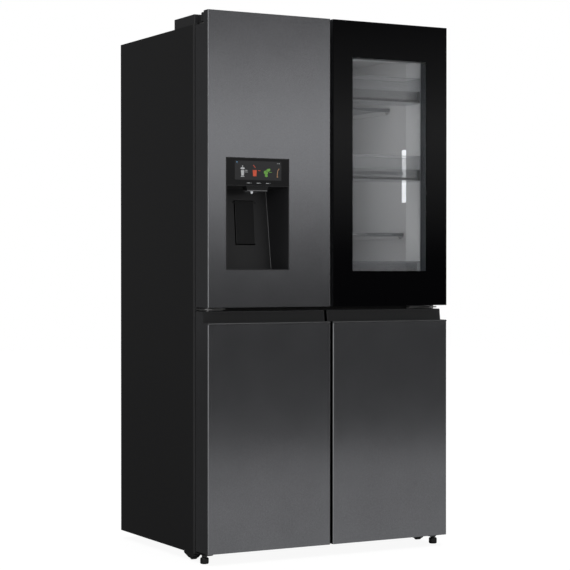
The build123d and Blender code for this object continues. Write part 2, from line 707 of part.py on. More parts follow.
def bin_floor_pair(floors, y_front, height):
    """Left door bins: clear open boxes with their floors at these heights."""
    return [tub(left(BIN_X), (y_front, BIN_BACK), (z, z + height), 3, 12) for z in floors]


def upper_right_body():
    """The window door's body: a tunnel behind the glass that opens into the room for its bins."""
    body = mirrored(upper_body())
    front = block((0, SIDE), (SKIN, GLASS), (UPPER_DOOR[0], TOP))
    tunnel = block(WINDOW_X, (0, DOOR_DEPTH + 1), WINDOW_Z)
    cavity = block(
        (DIKE[0] + DIKE_WALL, DIKE[1] - DIKE_WALL),
        (INNER_PANE[1], DIKE_BACK + 1),
        (DIKE_Z[0] + DIKE_WALL, DIKE_Z[1] - DIKE_WALL),
    )
    return body - front - tunnel - cavity


def window_border():
    """The printed part of the outer glass, about the clear part."""
    x = (GAP, SIDE)
    sheet = block(x, (0, GLASS), UPPER_DOOR)
    sheet = chamfer(sheet.edges().filter_by(Axis.Z).sort_by(Axis.Y)[:2], 1.5)
    return sheet - block(WINDOW_X, (-1, GLASS + 1), WINDOW_Z)


def window_panes():
    """The clear part of the outer glass, and the inner pane that closes the tunnel."""
    return [block(WINDOW_X, (0, GLASS), WINDOW_Z), block(WINDOW_X, INNER_PANE, WINDOW_Z)]


def window_door_sides():
    """The two upright trims that hold the glass."""
    outer = block((SIDE - SKIN, SIDE), (GLASS, SKIN_BACK), UPPER_DOOR) - mirrored(hinge_notch())
    return [outer, block((GAP, GAP + SKIN), (GLASS, SKIN_BACK), UPPER_DOOR)]


def drawer(foot, rim, back):
    """A left drawer: a clear tub with a deeper front that has a finger groove in its top."""
    x = left(DRAWER_X)
    body = tub(x, (DRAWER_FRONT + 8, back), (foot, rim), DRAWER_WALL, 14)
    front = block(x, (DRAWER_FRONT, DRAWER_FRONT + 12), (foot, rim))
    front = fillet(front.edges().filter_by(Axis.X), 3)
    middle = sum(x) / 2
    groove = block((middle - 60, middle + 60), (DRAWER_FRONT - 1, DRAWER_FRONT + 9), (rim - 26, rim - 10))
    return body + front - groove


def write_node(name, shapes):
    """Writes one node's solids, moved into the part's frame."""
    solids = [s for shape in (shapes if isinstance(shapes, list) else [shapes]) for s in shape.solids()]
    placed = [Pos(0, -DEPTH / 2, -FLOOR) * s for s in solids]
    node = placed[0] if len(placed) == 1 else Compound(children=placed)
    export_step(node, os.path.join("parts", name + ".step"))


def both(shape):
    """A left piece and its mirror image."""
    return [shape, mirrored(shape)]


def cabinet_nodes():
    rollers = {f"{end}_roller": roller(end) for end in ROLLER_AT}
    brackets = [s for end in ROLLER_AT for s in both(roller_bracket(end))]
    shelf_parts = [
        shelf(height, front_y, side)
        for name, side in (("left", -1), ("right", 1))
        for height, front_y in SHELVES[name]
    ]
    maker = ice_maker()
    nodes = {
        "side_panel_left": side_panel(),
        "side_panel_right": mirrored(side_panel()),
        "top_panel": top_panel(),
        "back_panel": back_panel(),
        "base_panel": base_panel(),
        "front_rails": front_rails(),
        "foam_core": foam_core(),
        "upper_liners": [
            upper_liner(SHELVES["left"]),
            mirrored(upper_liner(SHELVES["right"])),
        ],
        "lower_liners": both(lower_liner()),
        "top_hinges": both(top_hinge()),
        "middle_hinges": both(middle_hinge()),
        "bottom_hinges": both(bottom_hinge()),
        "hinge_covers": both(hinge_cover()),
        "foot_left": foot(),
        "foot_right": mirrored(foot()),
        "roller_brackets": brackets,
        "compressor": compressor(),
        "condenser": condenser(),
        "condenser_fan": Pos(*CONDENSER_FAN_AT) * Rot(0, 90, 0) * fan(58, 16, 5),
        "rear_cover": rear_cover(),
        "evaporator": evaporator(),
        "evaporator_fan": Pos(*EVAPORATOR_FAN_AT) * Rot(90, 0, 0) * fan(50, 14, 7),
        "duct_covers": duct_covers(),
        "led_bars": led_bars(),
        "glass_shelves": [glass for glass, _, _ in shelf_parts],
        "shelf_trims": [s for _, front, rear in shelf_parts for s in (front, rear)],
        "ice_maker": maker,
    }
    for name, shape in rollers.items():
        nodes[name + "_left"] = shape
        nodes[name + "_right"] = mirrored(shape)
    for level, size in (("lower", DRAWER_LOW), ("upper", DRAWER_HIGH)):
        nodes["freezer_drawer_" + level] = drawer(*size)
        nodes["crisper_drawer_" + level] = mirrored(drawer(*size))
    return nodes


def door_nodes():
    dispenser_hole = block(DISPENSER_X, (-1, SKIN + 1), DISPENSER_Z)
    return {
        "upper_left_door_panel": door_skin(UPPER_DOOR) - hinge_notch() - dispenser_hole,
        "upper_left_door_body": upper_left_body(),
        "upper_left_door_seal": seal(UPPER_SEAL_Z),
        "upper_left_door_pull": pull(),
        "upper_left_door_bins": bin_floor_pair((1360, 1530), DOOR_DEPTH + 2, 90),
        "dispenser_housing": dispenser_housing(),
        "display_panel": display_panel(),
        "dispenser_outlets": dispenser_outlets(),
        "dispenser_paddle": paddle(),
        "drip_tray": drip_tray(),
        "window_border": window_border(),
        "window_panes": window_panes(),
        "upper_right_door_sides": window_door_sides(),
        "upper_right_door_body": upper_right_body(),
        "upper_right_door_seal": mirrored(seal(UPPER_SEAL_Z)),
        "upper_right_door_pull": mirrored(pull()),
        "upper_right_door_bins": [
            mirrored(s) for s in bin_floor_pair(WINDOW_BINS, INNER_PANE[1] + 3, WINDOW_BIN_TALL)
        ],
        "lower_left_door_panel": lower_skin(),
        "lower_left_door_body": lower_body(),
        "lower_left_door_seal": seal(LOWER_SEAL_Z),
        "lower_left_door_grip": grip(),
        "lower_right_door_panel": mirrored(lower_skin()),
        "lower_right_door_body": mirrored(lower_body()),
        "lower_right_door_seal": mirrored(seal(LOWER_SEAL_Z)),
        "lower_right_door_grip": mirrored(grip()),
    }


os.makedirs("parts", exist_ok=True)
for node_name, node_shape in {**cabinet_nodes(), **door_nodes()}.items():
    write_node(node_name, node_shape)
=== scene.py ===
import math

import bpy
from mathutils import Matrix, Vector


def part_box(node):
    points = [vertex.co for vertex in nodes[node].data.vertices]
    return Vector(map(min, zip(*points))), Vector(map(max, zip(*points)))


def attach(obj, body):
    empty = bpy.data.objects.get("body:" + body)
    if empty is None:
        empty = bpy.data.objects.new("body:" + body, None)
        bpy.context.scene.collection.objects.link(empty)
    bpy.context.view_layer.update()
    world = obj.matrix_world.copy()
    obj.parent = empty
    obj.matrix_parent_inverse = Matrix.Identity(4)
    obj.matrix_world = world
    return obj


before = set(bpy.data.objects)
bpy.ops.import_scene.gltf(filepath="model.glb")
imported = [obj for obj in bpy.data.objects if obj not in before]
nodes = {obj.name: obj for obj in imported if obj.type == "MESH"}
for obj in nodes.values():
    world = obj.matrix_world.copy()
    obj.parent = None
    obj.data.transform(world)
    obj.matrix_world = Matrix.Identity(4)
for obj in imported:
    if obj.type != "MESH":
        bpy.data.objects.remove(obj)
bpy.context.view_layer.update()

print("frame loaded:", len(nodes), "nodes")


# small helpers, all through edit mode operators

def clearSelection():
    bpy.ops.object.select_all(action="DESELECT")


def makeActive(piece):
    clearSelection()
    piece.select_set(True)
    bpy.context.view_layer.objects.active = piece


def applyPlace(piece):
    makeActive(piece)
    bpy.ops.object.transform_apply(location=True, rotation=True, scale=True)


def nameIt(piece, name):
    piece.name = name
    piece.data.name = name
    return piece


def wordsJoined(name):  # upper_left_door becomes UpperLeftDoor
    return "".join(word.capitalize() for word in name.split("_"))


def addBlock(name, low, high):
    clearSelection()
    middle = [(a + b) / 2 for a, b in zip(low, high)]
    bpy.ops.mesh.primitive_cube_add(size=1, location=middle)
    piece = nameIt(bpy.context.object, name)
    piece.scale = [b - a for a, b in zip(low, high)]
    applyPlace(piece)
    return piece


def addRod(name, start, axis, radius, length, sides=32):
    clearSelection()
    turn = {"x": (0, math.pi / 2, 0), "y": (-math.pi / 2, 0, 0), "z": (0, 0, 0)}[axis]
    step = Vector({"x": (1, 0, 0), "y": (0, 1, 0), "z": (0, 0, 1)}[axis]) * (length / 2)
    bpy.ops.mesh.primitive_cylinder_add(
        vertices=sides, radius=radius, depth=length, location=Vector(start) + step, rotation=turn
    )
    piece = nameIt(bpy.context.object, name)
    applyPlace(piece)
    return piece


def pickFaces(piece, test):
    makeActive(piece)
    bpy.ops.object.mode_set(mode="EDIT")
    bpy.ops.mesh.select_mode(type="FACE")
    bpy.ops.mesh.select_all(action="DESELECT")
    bpy.ops.object.mode_set(mode="OBJECT")
    for face in piece.data.polygons:
        face.select = test(face.center, face.normal)
    bpy.ops.object.mode_set(mode="EDIT")


def pickEdges(piece, test):
    makeActive(piece)
    bpy.ops.object.mode_set(mode="EDIT")
    bpy.ops.mesh.select_mode(type="EDGE")
    bpy.ops.mesh.select_all(action="DESELECT")
    bpy.ops.object.mode_set(mode="OBJECT")
    points = piece.data.vertices
    for edge in piece.data.edges:
        a, b = (points[i].co for i in edge.vertices)
        edge.select = test((a + b) / 2, (b - a).normalized())
    bpy.ops.object.mode_set(mode="EDIT")


def leaveEdit():
    bpy.ops.object.mode_set(mode="OBJECT")


def roundAll(piece, width, segments=2):
    makeActive(piece)
    bpy.ops.object.mode_set(mode="EDIT")
    bpy.ops.mesh.select_all(action="SELECT")
    bpy.ops.mesh.bevel(offset=width, segments=segments, affect="EDGES")
    leaveEdit()


def roundEdges(piece, test, width, segments=3):
    pickEdges(piece, test)
    bpy.ops.mesh.bevel(offset=width, segments=segments, affect="EDGES")
    leaveEdit()


def copyPiece(piece, name, shift=(0, 0, 0)):
    makeActive(piece)
    bpy.ops.object.duplicate()
    twin = nameIt(bpy.context.object, name)
    twin.location = shift
    applyPlace(twin)
    return twin


def joinPieces(pieces, name):
    clearSelection()
    for piece in pieces:
        piece.select_set(True)
    bpy.context.view_layer.objects.active = pieces[0]
    bpy.ops.object.join()
    return nameIt(bpy.context.object, name)


def atPlaces(piece, name, shifts):  # the first stays, a copy goes to every further place
    twins = [copyPiece(piece, name, shift) for shift in shifts]
    return joinPieces([piece] + twins, name)


def smoothIt(piece, angle=40):
    makeActive(piece)
    bpy.ops.object.shade_smooth_by_angle(angle=math.radians(angle))


def finishPiece(piece, body, material):
    smoothIt(piece)
    piece.data.materials.clear()
    piece.data.materials.append(material)
    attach(piece, body)
    return piece


# shader groups

def newGroup(name, inputs, outputs):
    group = bpy.data.node_groups.new(name, "ShaderNodeTree")
    for socketName, kind, value in inputs:
        socket = group.interface.new_socket(name=socketName, in_out="INPUT", socket_type=kind)
        if value is not None:
            socket.default_value = value
    for socketName, kind in outputs:
        group.interface.new_socket(name=socketName, in_out="OUTPUT", socket_type=kind)
    return group, group.nodes.new("NodeGroupInput"), group.nodes.new("NodeGroupOutput")


def mathNode(tree, operation, a, b=None, clamp=False):
    node = tree.nodes.new("ShaderNodeMath")
    node.operation = operation
    node.use_clamp = clamp
    for socket, value in zip(node.inputs, (a, b)):
        if value is None:
            continue
        if isinstance(value, (int, float)):
            socket.default_value = value
        else:
            tree.links.new(value, socket)
    return node.outputs[0]


def buildGrainGroup():
    # colour and gloss that change a little over a surface, with a height for bump
    group, given, out = newGroup(
        "surfaceGrain",
        [
            ("Color", "NodeSocketColor", (0.5, 0.5, 0.5, 1)),
            ("Roughness", "NodeSocketFloat", 0.5),
            ("Stretch", "NodeSocketVector", (1, 1, 1)),
            ("Fine Scale", "NodeSocketFloat", 400),
            ("Cloud Scale", "NodeSocketFloat", 6),
            ("Colour Change", "NodeSocketFloat", 0.1),
            ("Gloss Change", "NodeSocketFloat", 0.05),
        ],
        [("Color", "NodeSocketColor"), ("Roughness", "NodeSocketFloat"), ("Height", "NodeSocketFloat")],
    )
    links = group.links
    coords = group.nodes.new("ShaderNodeTexCoord")
    stretched = group.nodes.new("ShaderNodeVectorMath")
    stretched.operation = "MULTIPLY"
    links.new(coords.outputs["Object"], stretched.inputs[0])
    links.new(given.outputs["Stretch"], stretched.inputs[1])
    fine = group.nodes.new("ShaderNodeTexNoise")
    fine.inputs["Detail"].default_value = 3
    links.new(stretched.outputs[0], fine.inputs["Vector"])
    links.new(given.outputs["Fine Scale"], fine.inputs["Scale"])
    cloud = group.nodes.new("ShaderNodeTexNoise")
    cloud.inputs["Detail"].default_value = 2
    links.new(coords.outputs["Object"], cloud.inputs["Vector"])
    links.new(given.outputs["Cloud Scale"], cloud.inputs["Scale"])
    fineValue = mathNode(group, "SUBTRACT", fine.outputs["Fac"], 0.5)
    cloudValue = mathNode(group, "SUBTRACT", cloud.outputs["Fac"], 0.5)
    both = mathNode(group, "ADD", fineValue, mathNode(group, "MULTIPLY", cloudValue, 0.35))
    change = mathNode(group, "MULTIPLY", both, given.outputs["Colour Change"])
    factor = mathNode(group, "ADD", change, 1)
    tinted = group.nodes.new("ShaderNodeVectorMath")
    tinted.operation = "SCALE"
    links.new(given.outputs["Color"], tinted.inputs[0])
    links.new(factor, tinted.inputs["Scale"])
    links.new(tinted.outputs[0], out.inputs["Color"])
    gloss = mathNode(group, "MULTIPLY", both, given.outputs["Gloss Change"])
    roughness = mathNode(group, "ADD", gloss, given.outputs["Roughness"], clamp=True)
    links.new(roughness, out.inputs["Roughness"])
    links.new(fine.outputs["Fac"], out.inputs["Height"])
    return group


def buildDustGroup():
    # a faint mask, for dust that lies on faces that look up
    group, given, out = newGroup(
        "restingDust",
        [("Color", "NodeSocketColor", (0.5, 0.5, 0.5, 1)), ("Amount", "NodeSocketFloat", 0.1)],
        [("Color", "NodeSocketColor")],
    )
    links = group.links
    geometry = group.nodes.new("ShaderNodeNewGeometry")
    split = group.nodes.new("ShaderNodeSeparateXYZ")
    links.new(geometry.outputs["Normal"], split.inputs[0])
    coords = group.nodes.new("ShaderNodeTexCoord")
    specks = group.nodes.new("ShaderNodeTexNoise")
    specks.inputs["Scale"].default_value = 90
    specks.inputs["Detail"].default_value = 4
    links.new(coords.outputs["Object"], specks.inputs["Vector"])
    upward = mathNode(group, "MULTIPLY", split.outputs["Z"], specks.outputs["Fac"], clamp=True)
    mask = mathNode(group, "MULTIPLY", upward, given.outputs["Amount"], clamp=True)
    mix = group.nodes.new("ShaderNodeMix")
    mix.data_type = "RGBA"
    links.new(mask, mix.inputs["Factor"])
    links.new(given.outputs["Color"], mix.inputs["A"])
    mix.inputs["B"].default_value = (0.42, 0.41, 0.39, 1)
    links.new(mix.outputs["Result"], out.inputs["Color"])
    return group


def buildTwoToneGroup():
    # one colour in front of a depth and on the top and bottom ends, another behind
    group, given, out = newGroup(
        "frontAndBack",
        [
            ("Front", "NodeSocketColor", (0.02, 0.02, 0.02, 1)),
            ("Back", "NodeSocketColor", (0.7, 0.7, 0.7, 1)),
            ("Depth", "NodeSocketFloat", 0),
            ("Bottom", "NodeSocketFloat", 0),
            ("Top", "NodeSocketFloat", 1),
            ("Reach", "NodeSocketFloat", 0.4),
        ],
        [("Color", "NodeSocketColor")],
    )
    links = group.links
    coords = group.nodes.new("ShaderNodeTexCoord")
    split = group.nodes.new("ShaderNodeSeparateXYZ")
    links.new(coords.outputs["Object"], split.inputs[0])
    ahead = mathNode(group, "LESS_THAN", split.outputs["Y"], given.outputs["Depth"])
    below = mathNode(group, "LESS_THAN", split.outputs["Z"], given.outputs["Bottom"])
    above = mathNode(group, "GREATER_THAN", split.outputs["Z"], given.outputs["Top"])
    across = mathNode(group, "ABSOLUTE", split.outputs["X"])
    outside = mathNode(group, "GREATER_THAN", across, given.outputs["Reach"])
    mask = mathNode(group, "MAXIMUM", mathNode(group, "MAXIMUM", ahead, below), above)
    mask = mathNode(group, "MAXIMUM", mask, outside)
    mix = group.nodes.new("ShaderNodeMix")
    mix.data_type = "RGBA"
    links.new(mask, mix.inputs["Factor"])
    links.new(given.outputs["Back"], mix.inputs["A"])
    links.new(given.outputs["Front"], mix.inputs["B"])
    links.new(mix.outputs["Result"], out.inputs["Color"])
    return group


grainGroup = buildGrainGroup()
dustGroup = buildDustGroup()
twoToneGroup = buildTwoToneGroup()


def rgba(colour):
    return (*colour, 1)


def makeFinish(name, colour, roughness, metallic=0.0, stretch=(1, 1, 1), fine=400, cloud=6,
               change=0.1, gloss=0.05, bump=0.0, bumpDistance=0.0002, coat=0.0, coatRough=0.1,
               specular=0.5, dust=0.0, twoTone=None, alpha=None, transmission=0.0, ior=1.5,
               emission=None, emissionStrength=0.0):
    material = bpy.data.materials.new(name)
    material.use_nodes = True
    tree = material.node_tree
    links = tree.links
    shader = tree.nodes["Principled BSDF"]
    grain = tree.nodes.new("ShaderNodeGroup")
    grain.node_tree = grainGroup
    grain.inputs["Color"].default_value = rgba(colour)
    grain.inputs["Roughness"].default_value = roughness
    grain.inputs["Stretch"].default_value = stretch
    grain.inputs["Fine Scale"].default_value = fine
    grain.inputs["Cloud Scale"].default_value = cloud
    grain.inputs["Colour Change"].default_value = change
    grain.inputs["Gloss Change"].default_value = gloss
    if twoTone:
        tone = tree.nodes.new("ShaderNodeGroup")
        tone.node_tree = twoToneGroup
        for key, value in twoTone.items():
            tone.inputs[key].default_value = value
        links.new(tone.outputs["Color"], grain.inputs["Color"])
    colourOut = grain.outputs["Color"]
    if dust:
        dusty = tree.nodes.new("ShaderNodeGroup")
        dusty.node_tree = dustGroup
        dusty.inputs["Amount"].default_value = dust
        links.new(colourOut, dusty.inputs["Color"])
        colourOut = dusty.outputs["Color"]
    links.new(colourOut, shader.inputs["Base Color"])
    links.new(grain.outputs["Roughness"], shader.inputs["Roughness"])
    if bump:
        bumpNode = tree.nodes.new("ShaderNodeBump")
        bumpNode.inputs["Strength"].default_value = bump
        bumpNode.inputs["Distance"].default_value = bumpDistance
        links.new(grain.outputs["Height"], bumpNode.inputs["Height"])
        links.new(bumpNode.outputs["Normal"], shader.inputs["Normal"])
    shader.inputs["Metallic"].default_value = metallic
    shader.inputs["Specular IOR Level"].default_value = specular
    shader.inputs["Coat Weight"].default_value = coat
    shader.inputs["Coat Roughness"].default_value = coatRough
    shader.inputs["Transmission Weight"].default_value = transmission
    shader.inputs["IOR"].default_value = ior
    if alpha is not None:
        shader.inputs["Alpha"].default_value = alpha
        material.surface_render_method = "BLENDED"
    if emission:
        shader.inputs["Emission Color"].default_value = rgba(emission)
        shader.inputs["Emission Strength"].default_value = emissionStrength
    return material


panelBox = {name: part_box(name) for name in nodes if name.endswith("_panel")}
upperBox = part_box("upper_right_door_body")
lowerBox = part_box("lower_left_door_body")
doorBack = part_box("upper_left_door_seal")[0][1]  # inner face of every door
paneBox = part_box("window_panes")
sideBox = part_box("side_panel_left")

endCap = rgba((0.03, 0.031, 0.034))
innerGrey = rgba((0.60, 0.61, 0.62))
capSkin = 0.0015  # depth of a door's dark end caps


def bodyFinish(name, front, depth, box, reach):
    # a door's foam body: dark in front and on its ends, pale on its inner side
    return makeFinish(
        name, (0.5, 0.5, 0.5), 0.36, fine=900, change=0.08, gloss=0.06, bump=0.05,
        twoTone={"Front": front, "Back": innerGrey, "Depth": depth, "Bottom": box[0][2] + capSkin,
                 "Top": box[1][2] - capSkin, "Reach": reach})


finish = {
    "graphiteSteel": makeFinish(
        "graphiteSteel", (0.150, 0.152, 0.160), 0.16, metallic=1.0, fine=260, cloud=9, change=0.5,
        gloss=0.05, bump=0.04, bumpDistance=0.0002, dust=0.03),
    "doorTrim": makeFinish(
        "doorTrim", (0.05, 0.052, 0.057), 0.35, metallic=0.6, fine=500, change=0.2, gloss=0.08, bump=0.05),
    # lighter than the door steel: a painted highlight for the doors' chamfered front edges
    "paintedHighlightStrip": makeFinish(
        "paintedHighlightStrip", (0.21, 0.213, 0.22), 0.38, metallic=0.8, fine=300, change=0.06, gloss=0.03),
    # lighter than the grip plastic: a painted highlight on the grip's edges
    "paintedGripHighlight": makeFinish(
        "paintedGripHighlight", (0.055, 0.056, 0.058), 0.40, metallic=0.8, fine=300, change=0.06, gloss=0.03),
    "cabinetPaint": makeFinish(
        "cabinetPaint", (0.010, 0.010, 0.011), 0.42, fine=300, cloud=4, change=0.3, gloss=0.1,
        bump=0.10, bumpDistance=0.0003, specular=0.3, dust=0.03),
    # the side panels: a darker copy of the cabinet paint, painted shade, with a lighter band along the front
    # edge, a painted highlight
    "cabinetSideShadeAndHighlight": makeFinish(
        "cabinetSideShadeAndHighlight", (0.010, 0.010, 0.011), 0.42, fine=300, cloud=4, change=0.3, gloss=0.1,
        bump=0.10, bumpDistance=0.0003, specular=0.3, dust=0.03,
        twoTone={"Front": rgba((0.030, 0.030, 0.031)), "Back": rgba((0.0075, 0.0075, 0.0082)),
                 "Depth": sideBox[0][1] + 0.009, "Bottom": -1.0, "Top": 10.0, "Reach": 10.0}),
    "smokePlastic": makeFinish(
        "smokePlastic", (0.030, 0.032, 0.034), 0.08, fine=120, change=0.05, gloss=0.04, alpha=0.16),
    # lighter than the cabinet paint: a painted highlight on the cabinet's front flange
    "paintedCabinetEdgeHighlight": makeFinish(
        "paintedCabinetEdgeHighlight", (0.05, 0.05, 0.052), 0.35, metallic=0.4, fine=800, change=0.2, bump=0.05),
    "zincSheet": makeFinish(
        "zincSheet", (0.42, 0.43, 0.44), 0.42, metallic=0.85, fine=60, cloud=14, change=0.35,
        gloss=0.25, bump=0.08, dust=0.15),
    "insulation": makeFinish("insulation", (0.78, 0.68, 0.42), 0.9, fine=500, change=0.3, bump=0.5),
    "roomLiner": makeFinish(
        "roomLiner", (0.50, 0.50, 0.51), 0.34, fine=900, cloud=3, change=0.06, gloss=0.08, bump=0.05,
        coat=0.2, coatRough=0.2),
    "windowDoorBody": bodyFinish("windowDoorBody", rgba((0.030, 0.034, 0.042)), paneBox[1][1] - 0.0035,
                                 upperBox, upperBox[1][0] - capSkin),
    "upperDoorBody": bodyFinish("upperDoorBody", endCap, doorBack - 0.0001, upperBox, 1.0),
    "lowerDoorBody": bodyFinish("lowerDoorBody", endCap, doorBack - 0.0001, lowerBox, 1.0),
    "sealRubber": makeFinish(
        "sealRubber", (0.009, 0.009, 0.0095), 0.6, fine=700, change=0.2, gloss=0.1, bump=0.15,
        specular=0.3),
    "gripPlastic": makeFinish(
        "gripPlastic", (0.011, 0.011, 0.012), 0.42, fine=800, change=0.25, gloss=0.12, bump=0.12,
        bumpDistance=0.0001, specular=0.4),
    "hingeZinc": makeFinish(
        "hingeZinc", (0.55, 0.55, 0.54), 0.32, metallic=1.0, fine=350, change=0.25, gloss=0.2, bump=0.08),
    "dimSteel": makeFinish(
        "dimSteel", (0.22, 0.22, 0.22), 0.42, metallic=1.0, fine=350, change=0.25, gloss=0.15, bump=0.06),
    "darkSteel": makeFinish(
        "darkSteel", (0.030, 0.030, 0.031), 0.45, metallic=0.5, fine=350, change=0.3, gloss=0.15, bump=0.08),
    "blackPlastic": makeFinish(
        "blackPlastic", (0.016, 0.016, 0.017), 0.48, fine=900, change=0.3, gloss=0.12, bump=0.25,
        bumpDistance=0.0001, dust=0.06),
    "footPlastic": makeFinish(
        "footPlastic", (0.010, 0.010, 0.010), 0.5, fine=700, change=0.3, gloss=0.15, bump=0.2),
    "compressorPaint": makeFinish(
        "compressorPaint", (0.012, 0.012, 0.013), 0.25, fine=200, change=0.3, gloss=0.1, bump=0.08,
        coat=0.5, dust=0.12),
    "coilAluminium": makeFinish(
        "coilAluminium", (0.65, 0.66, 0.67), 0.35, metallic=1.0, fine=500, change=0.25, gloss=0.2,
        bump=0.1, dust=0.12),
    "ductPlastic": makeFinish(
        "ductPlastic", (0.42, 0.43, 0.44), 0.4, fine=900, change=0.08, gloss=0.06, bump=0.1),
    "lampDiffuser": makeFinish(
        "lampDiffuser", (0.55, 0.56, 0.58), 0.5, fine=500, change=0.05, emission=(0.95, 0.97, 1.0),
        emissionStrength=0.75),
    "shelfGlass": makeFinish(
        "shelfGlass", (0.55, 0.62, 0.62), 0.05, fine=80, change=0.05, gloss=0.02, alpha=0.25),
    "shelfTrim": makeFinish(
        "shelfTrim", (0.33, 0.34, 0.35), 0.32, metallic=0.3, fine=900, change=0.1, gloss=0.06, bump=0.05),
    "clearPlastic": makeFinish(
        "clearPlastic", (0.55, 0.57, 0.60), 0.08, fine=120, change=0.05, gloss=0.04, alpha=0.16),
    "icePlastic": makeFinish(
        "icePlastic", (0.55, 0.57, 0.60), 0.35, fine=900, change=0.1, gloss=0.08, bump=0.08),
    "dispenserPlastic": makeFinish(
        "dispenserPlastic", (0.013, 0.013, 0.014), 0.36, fine=1000, change=0.2, gloss=0.1, bump=0.10,
        bumpDistance=0.0001, specular=0.4),
    "outletPlastic": makeFinish(
        "outletPlastic", (0.009, 0.009, 0.0095), 0.3, fine=800, change=0.15, gloss=0.06, bump=0.05,
        specular=0.25),
    "paddlePlastic": makeFinish(
        "paddlePlastic", (0.008, 0.008, 0.0085), 0.36, fine=900, change=0.15, gloss=0.08, bump=0.06,
        specular=0.2),
    "displayGlass": makeFinish(
        "displayGlass", (0.005, 0.005, 0.0055), 0.12, fine=200, change=0.1, gloss=0.04, specular=0.10),
    "blackGlass": makeFinish(
        "blackGlass", (0.0016, 0.0016, 0.0020), 0.06, fine=100, cloud=5, change=0.1, gloss=0.03,
        specular=0.07),
    "windowGlass": makeFinish(
        "windowGlass", (0.93, 0.93, 0.93), 0.0, fine=60, change=0.02, gloss=0.01, transmission=1.0,
        ior=1.12),
    "darkTrim": makeFinish(
        "darkTrim", (0.018, 0.018, 0.019), 0.35, fine=700, change=0.15, gloss=0.08, bump=0.05),
    "brightTrim": makeFinish(
        "brightTrim", (0.45, 0.46, 0.47), 0.28, metallic=1.0, stretch=(0.03, 1, 1), fine=900,
        change=0.15, gloss=0.08),
}

nodeFinish = {
    "graphiteSteel": ["upper_left_door_panel", "lower_left_door_panel", "lower_right_door_panel"],
    "doorTrim": ["upper_right_door_sides"],
    "cabinetPaint": ["top_panel", "front_rails"],
    "cabinetSideShadeAndHighlight": ["side_panel_left", "side_panel_right"],
    "zincSheet": ["back_panel", "base_panel"],
    "insulation": ["foam_core"],
    "roomLiner": ["upper_liners", "lower_liners"],
    "windowDoorBody": ["upper_right_door_body"],
    "upperDoorBody": ["upper_left_door_body"],
    "lowerDoorBody": ["lower_left_door_body", "lower_right_door_body"],
    "sealRubber": ["upper_left_door_seal", "upper_right_door_seal", "lower_left_door_seal",
                   "lower_right_door_seal"],
    "gripPlastic": ["lower_left_door_grip", "lower_right_door_grip", "upper_left_door_pull",
                    "upper_right_door_pull"],
    "hingeZinc": ["top_hinges"],
    "dimSteel": ["middle_hinges"],
    "darkSteel": ["bottom_hinges", "roller_brackets"],
    "blackPlastic": ["hinge_covers", "rear_cover", "condenser_fan", "evaporator_fan"],
    "footPlastic": ["foot_left", "foot_right", "front_roller_left", "front_roller_right",
                    "rear_roller_left", "rear_roller_right"],
    "compressorPaint": ["compressor"],
    "coilAluminium": ["condenser", "evaporator"],
    "ductPlastic": ["duct_covers"],
    "lampDiffuser": ["led_bars"],
    "shelfGlass": ["glass_shelves"],
    "shelfTrim": ["shelf_trims"],
    "clearPlastic": ["upper_left_door_bins", "upper_right_door_bins", "freezer_drawer_lower",
                     "freezer_drawer_upper", "crisper_drawer_lower", "crisper_drawer_upper"],
    "icePlastic": ["ice_maker"],
    "dispenserPlastic": ["dispenser_housing", "drip_tray"],
    "outletPlastic": ["dispenser_outlets"],
    "paddlePlastic": ["dispenser_paddle"],
    "displayGlass": ["display_panel"],
    "blackGlass": ["window_border"],
    "windowGlass": ["window_panes"],
}
for finishName, nodeNames in nodeFinish.items():
    for nodeName in nodeNames:
        meshData = nodes[nodeName].data
        for index in range(len(meshData.materials)):
            meshData.materials[index] = finish[finishName]
        if not meshData.materials:
            meshData.materials.append(finish[finishName])
print("finishes on the frame")


# strips of a lighter colour on the doors' upright front edges: a painted highlight on the chamfers

paintedHighlightStrip = {"width": 0.0036, "thick": 0.0003, "inset": 0.00145, "endGap": 0.0008}


def makePaintedHighlightStrip(name, xEdge, towards, yFront, low, high, body):
    s = paintedHighlightStrip
    half = s["width"] / 2
    piece = addBlock(name, (-half, -s["thick"] / 2, low + s["endGap"]),
                     (half, s["thick"] / 2, high - s["endGap"]))
    piece.rotation_euler = (0, 0, -towards * math.pi / 4)
    piece.location = (xEdge + towards * s["inset"], yFront + s["inset"], 0)
    applyPlace(piece)
    roundEdges(piece, lambda m, d: abs(d.z) > 0.9, 0.0001, 2)
    finishPiece(piece, body, finish["paintedHighlightStrip"])


gripShape = {
    "drop": 0.0420, "lip": 0.005,  # the opening under the door's rim, and the lip at its foot
    "seatFront": 0.0399, "seatBack": 0.0445, "seatFoot": 0.0365, "seatTop": 0.0005,
    "endFrom": 0.0001, "endTo": 0.0019, "endThick": 0.0003,
    "rimFrom": 0.0022, "rimFront": 0.0441, "rimFoot": 0.0030, "rimTop": 0.0002, "rimThick": 0.0004,
    "lipFrom": 0.0006,
}
doorBoxes = {
    "upper_left_door": panelBox["upper_left_door_panel"],
    "upper_right_door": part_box("window_border"),
    "lower_left_door": panelBox["lower_left_door_panel"],
    "lower_right_door": panelBox["lower_right_door_panel"],
}
for body, (low, high) in doorBoxes.items():
    top = high[2]
    if body.startswith("lower"):
        top = high[2] - gripShape["drop"]  # the grip opens above here
    makePaintedHighlightStrip("highlightStripWest" + wordsJoined(body), low[0], 1, low[1], low[2], top, body)
    makePaintedHighlightStrip("highlightStripEast" + wordsJoined(body), high[0], -1, low[1], low[2], top, body)


def addSlanted(name, x, foot, top, thick):
    # a thin bar that stands between two (y, z) points, its face towards -Y
    length = math.dist(foot, top)
    piece = addBlock(name, (x[0], -thick, 0), (x[1], 0, length))
    piece.rotation_euler = (-math.atan2(top[0] - foot[0], top[1] - foot[1]), 0, 0)
    piece.location = (0, foot[0], foot[1])
    applyPlace(piece)
    return piece
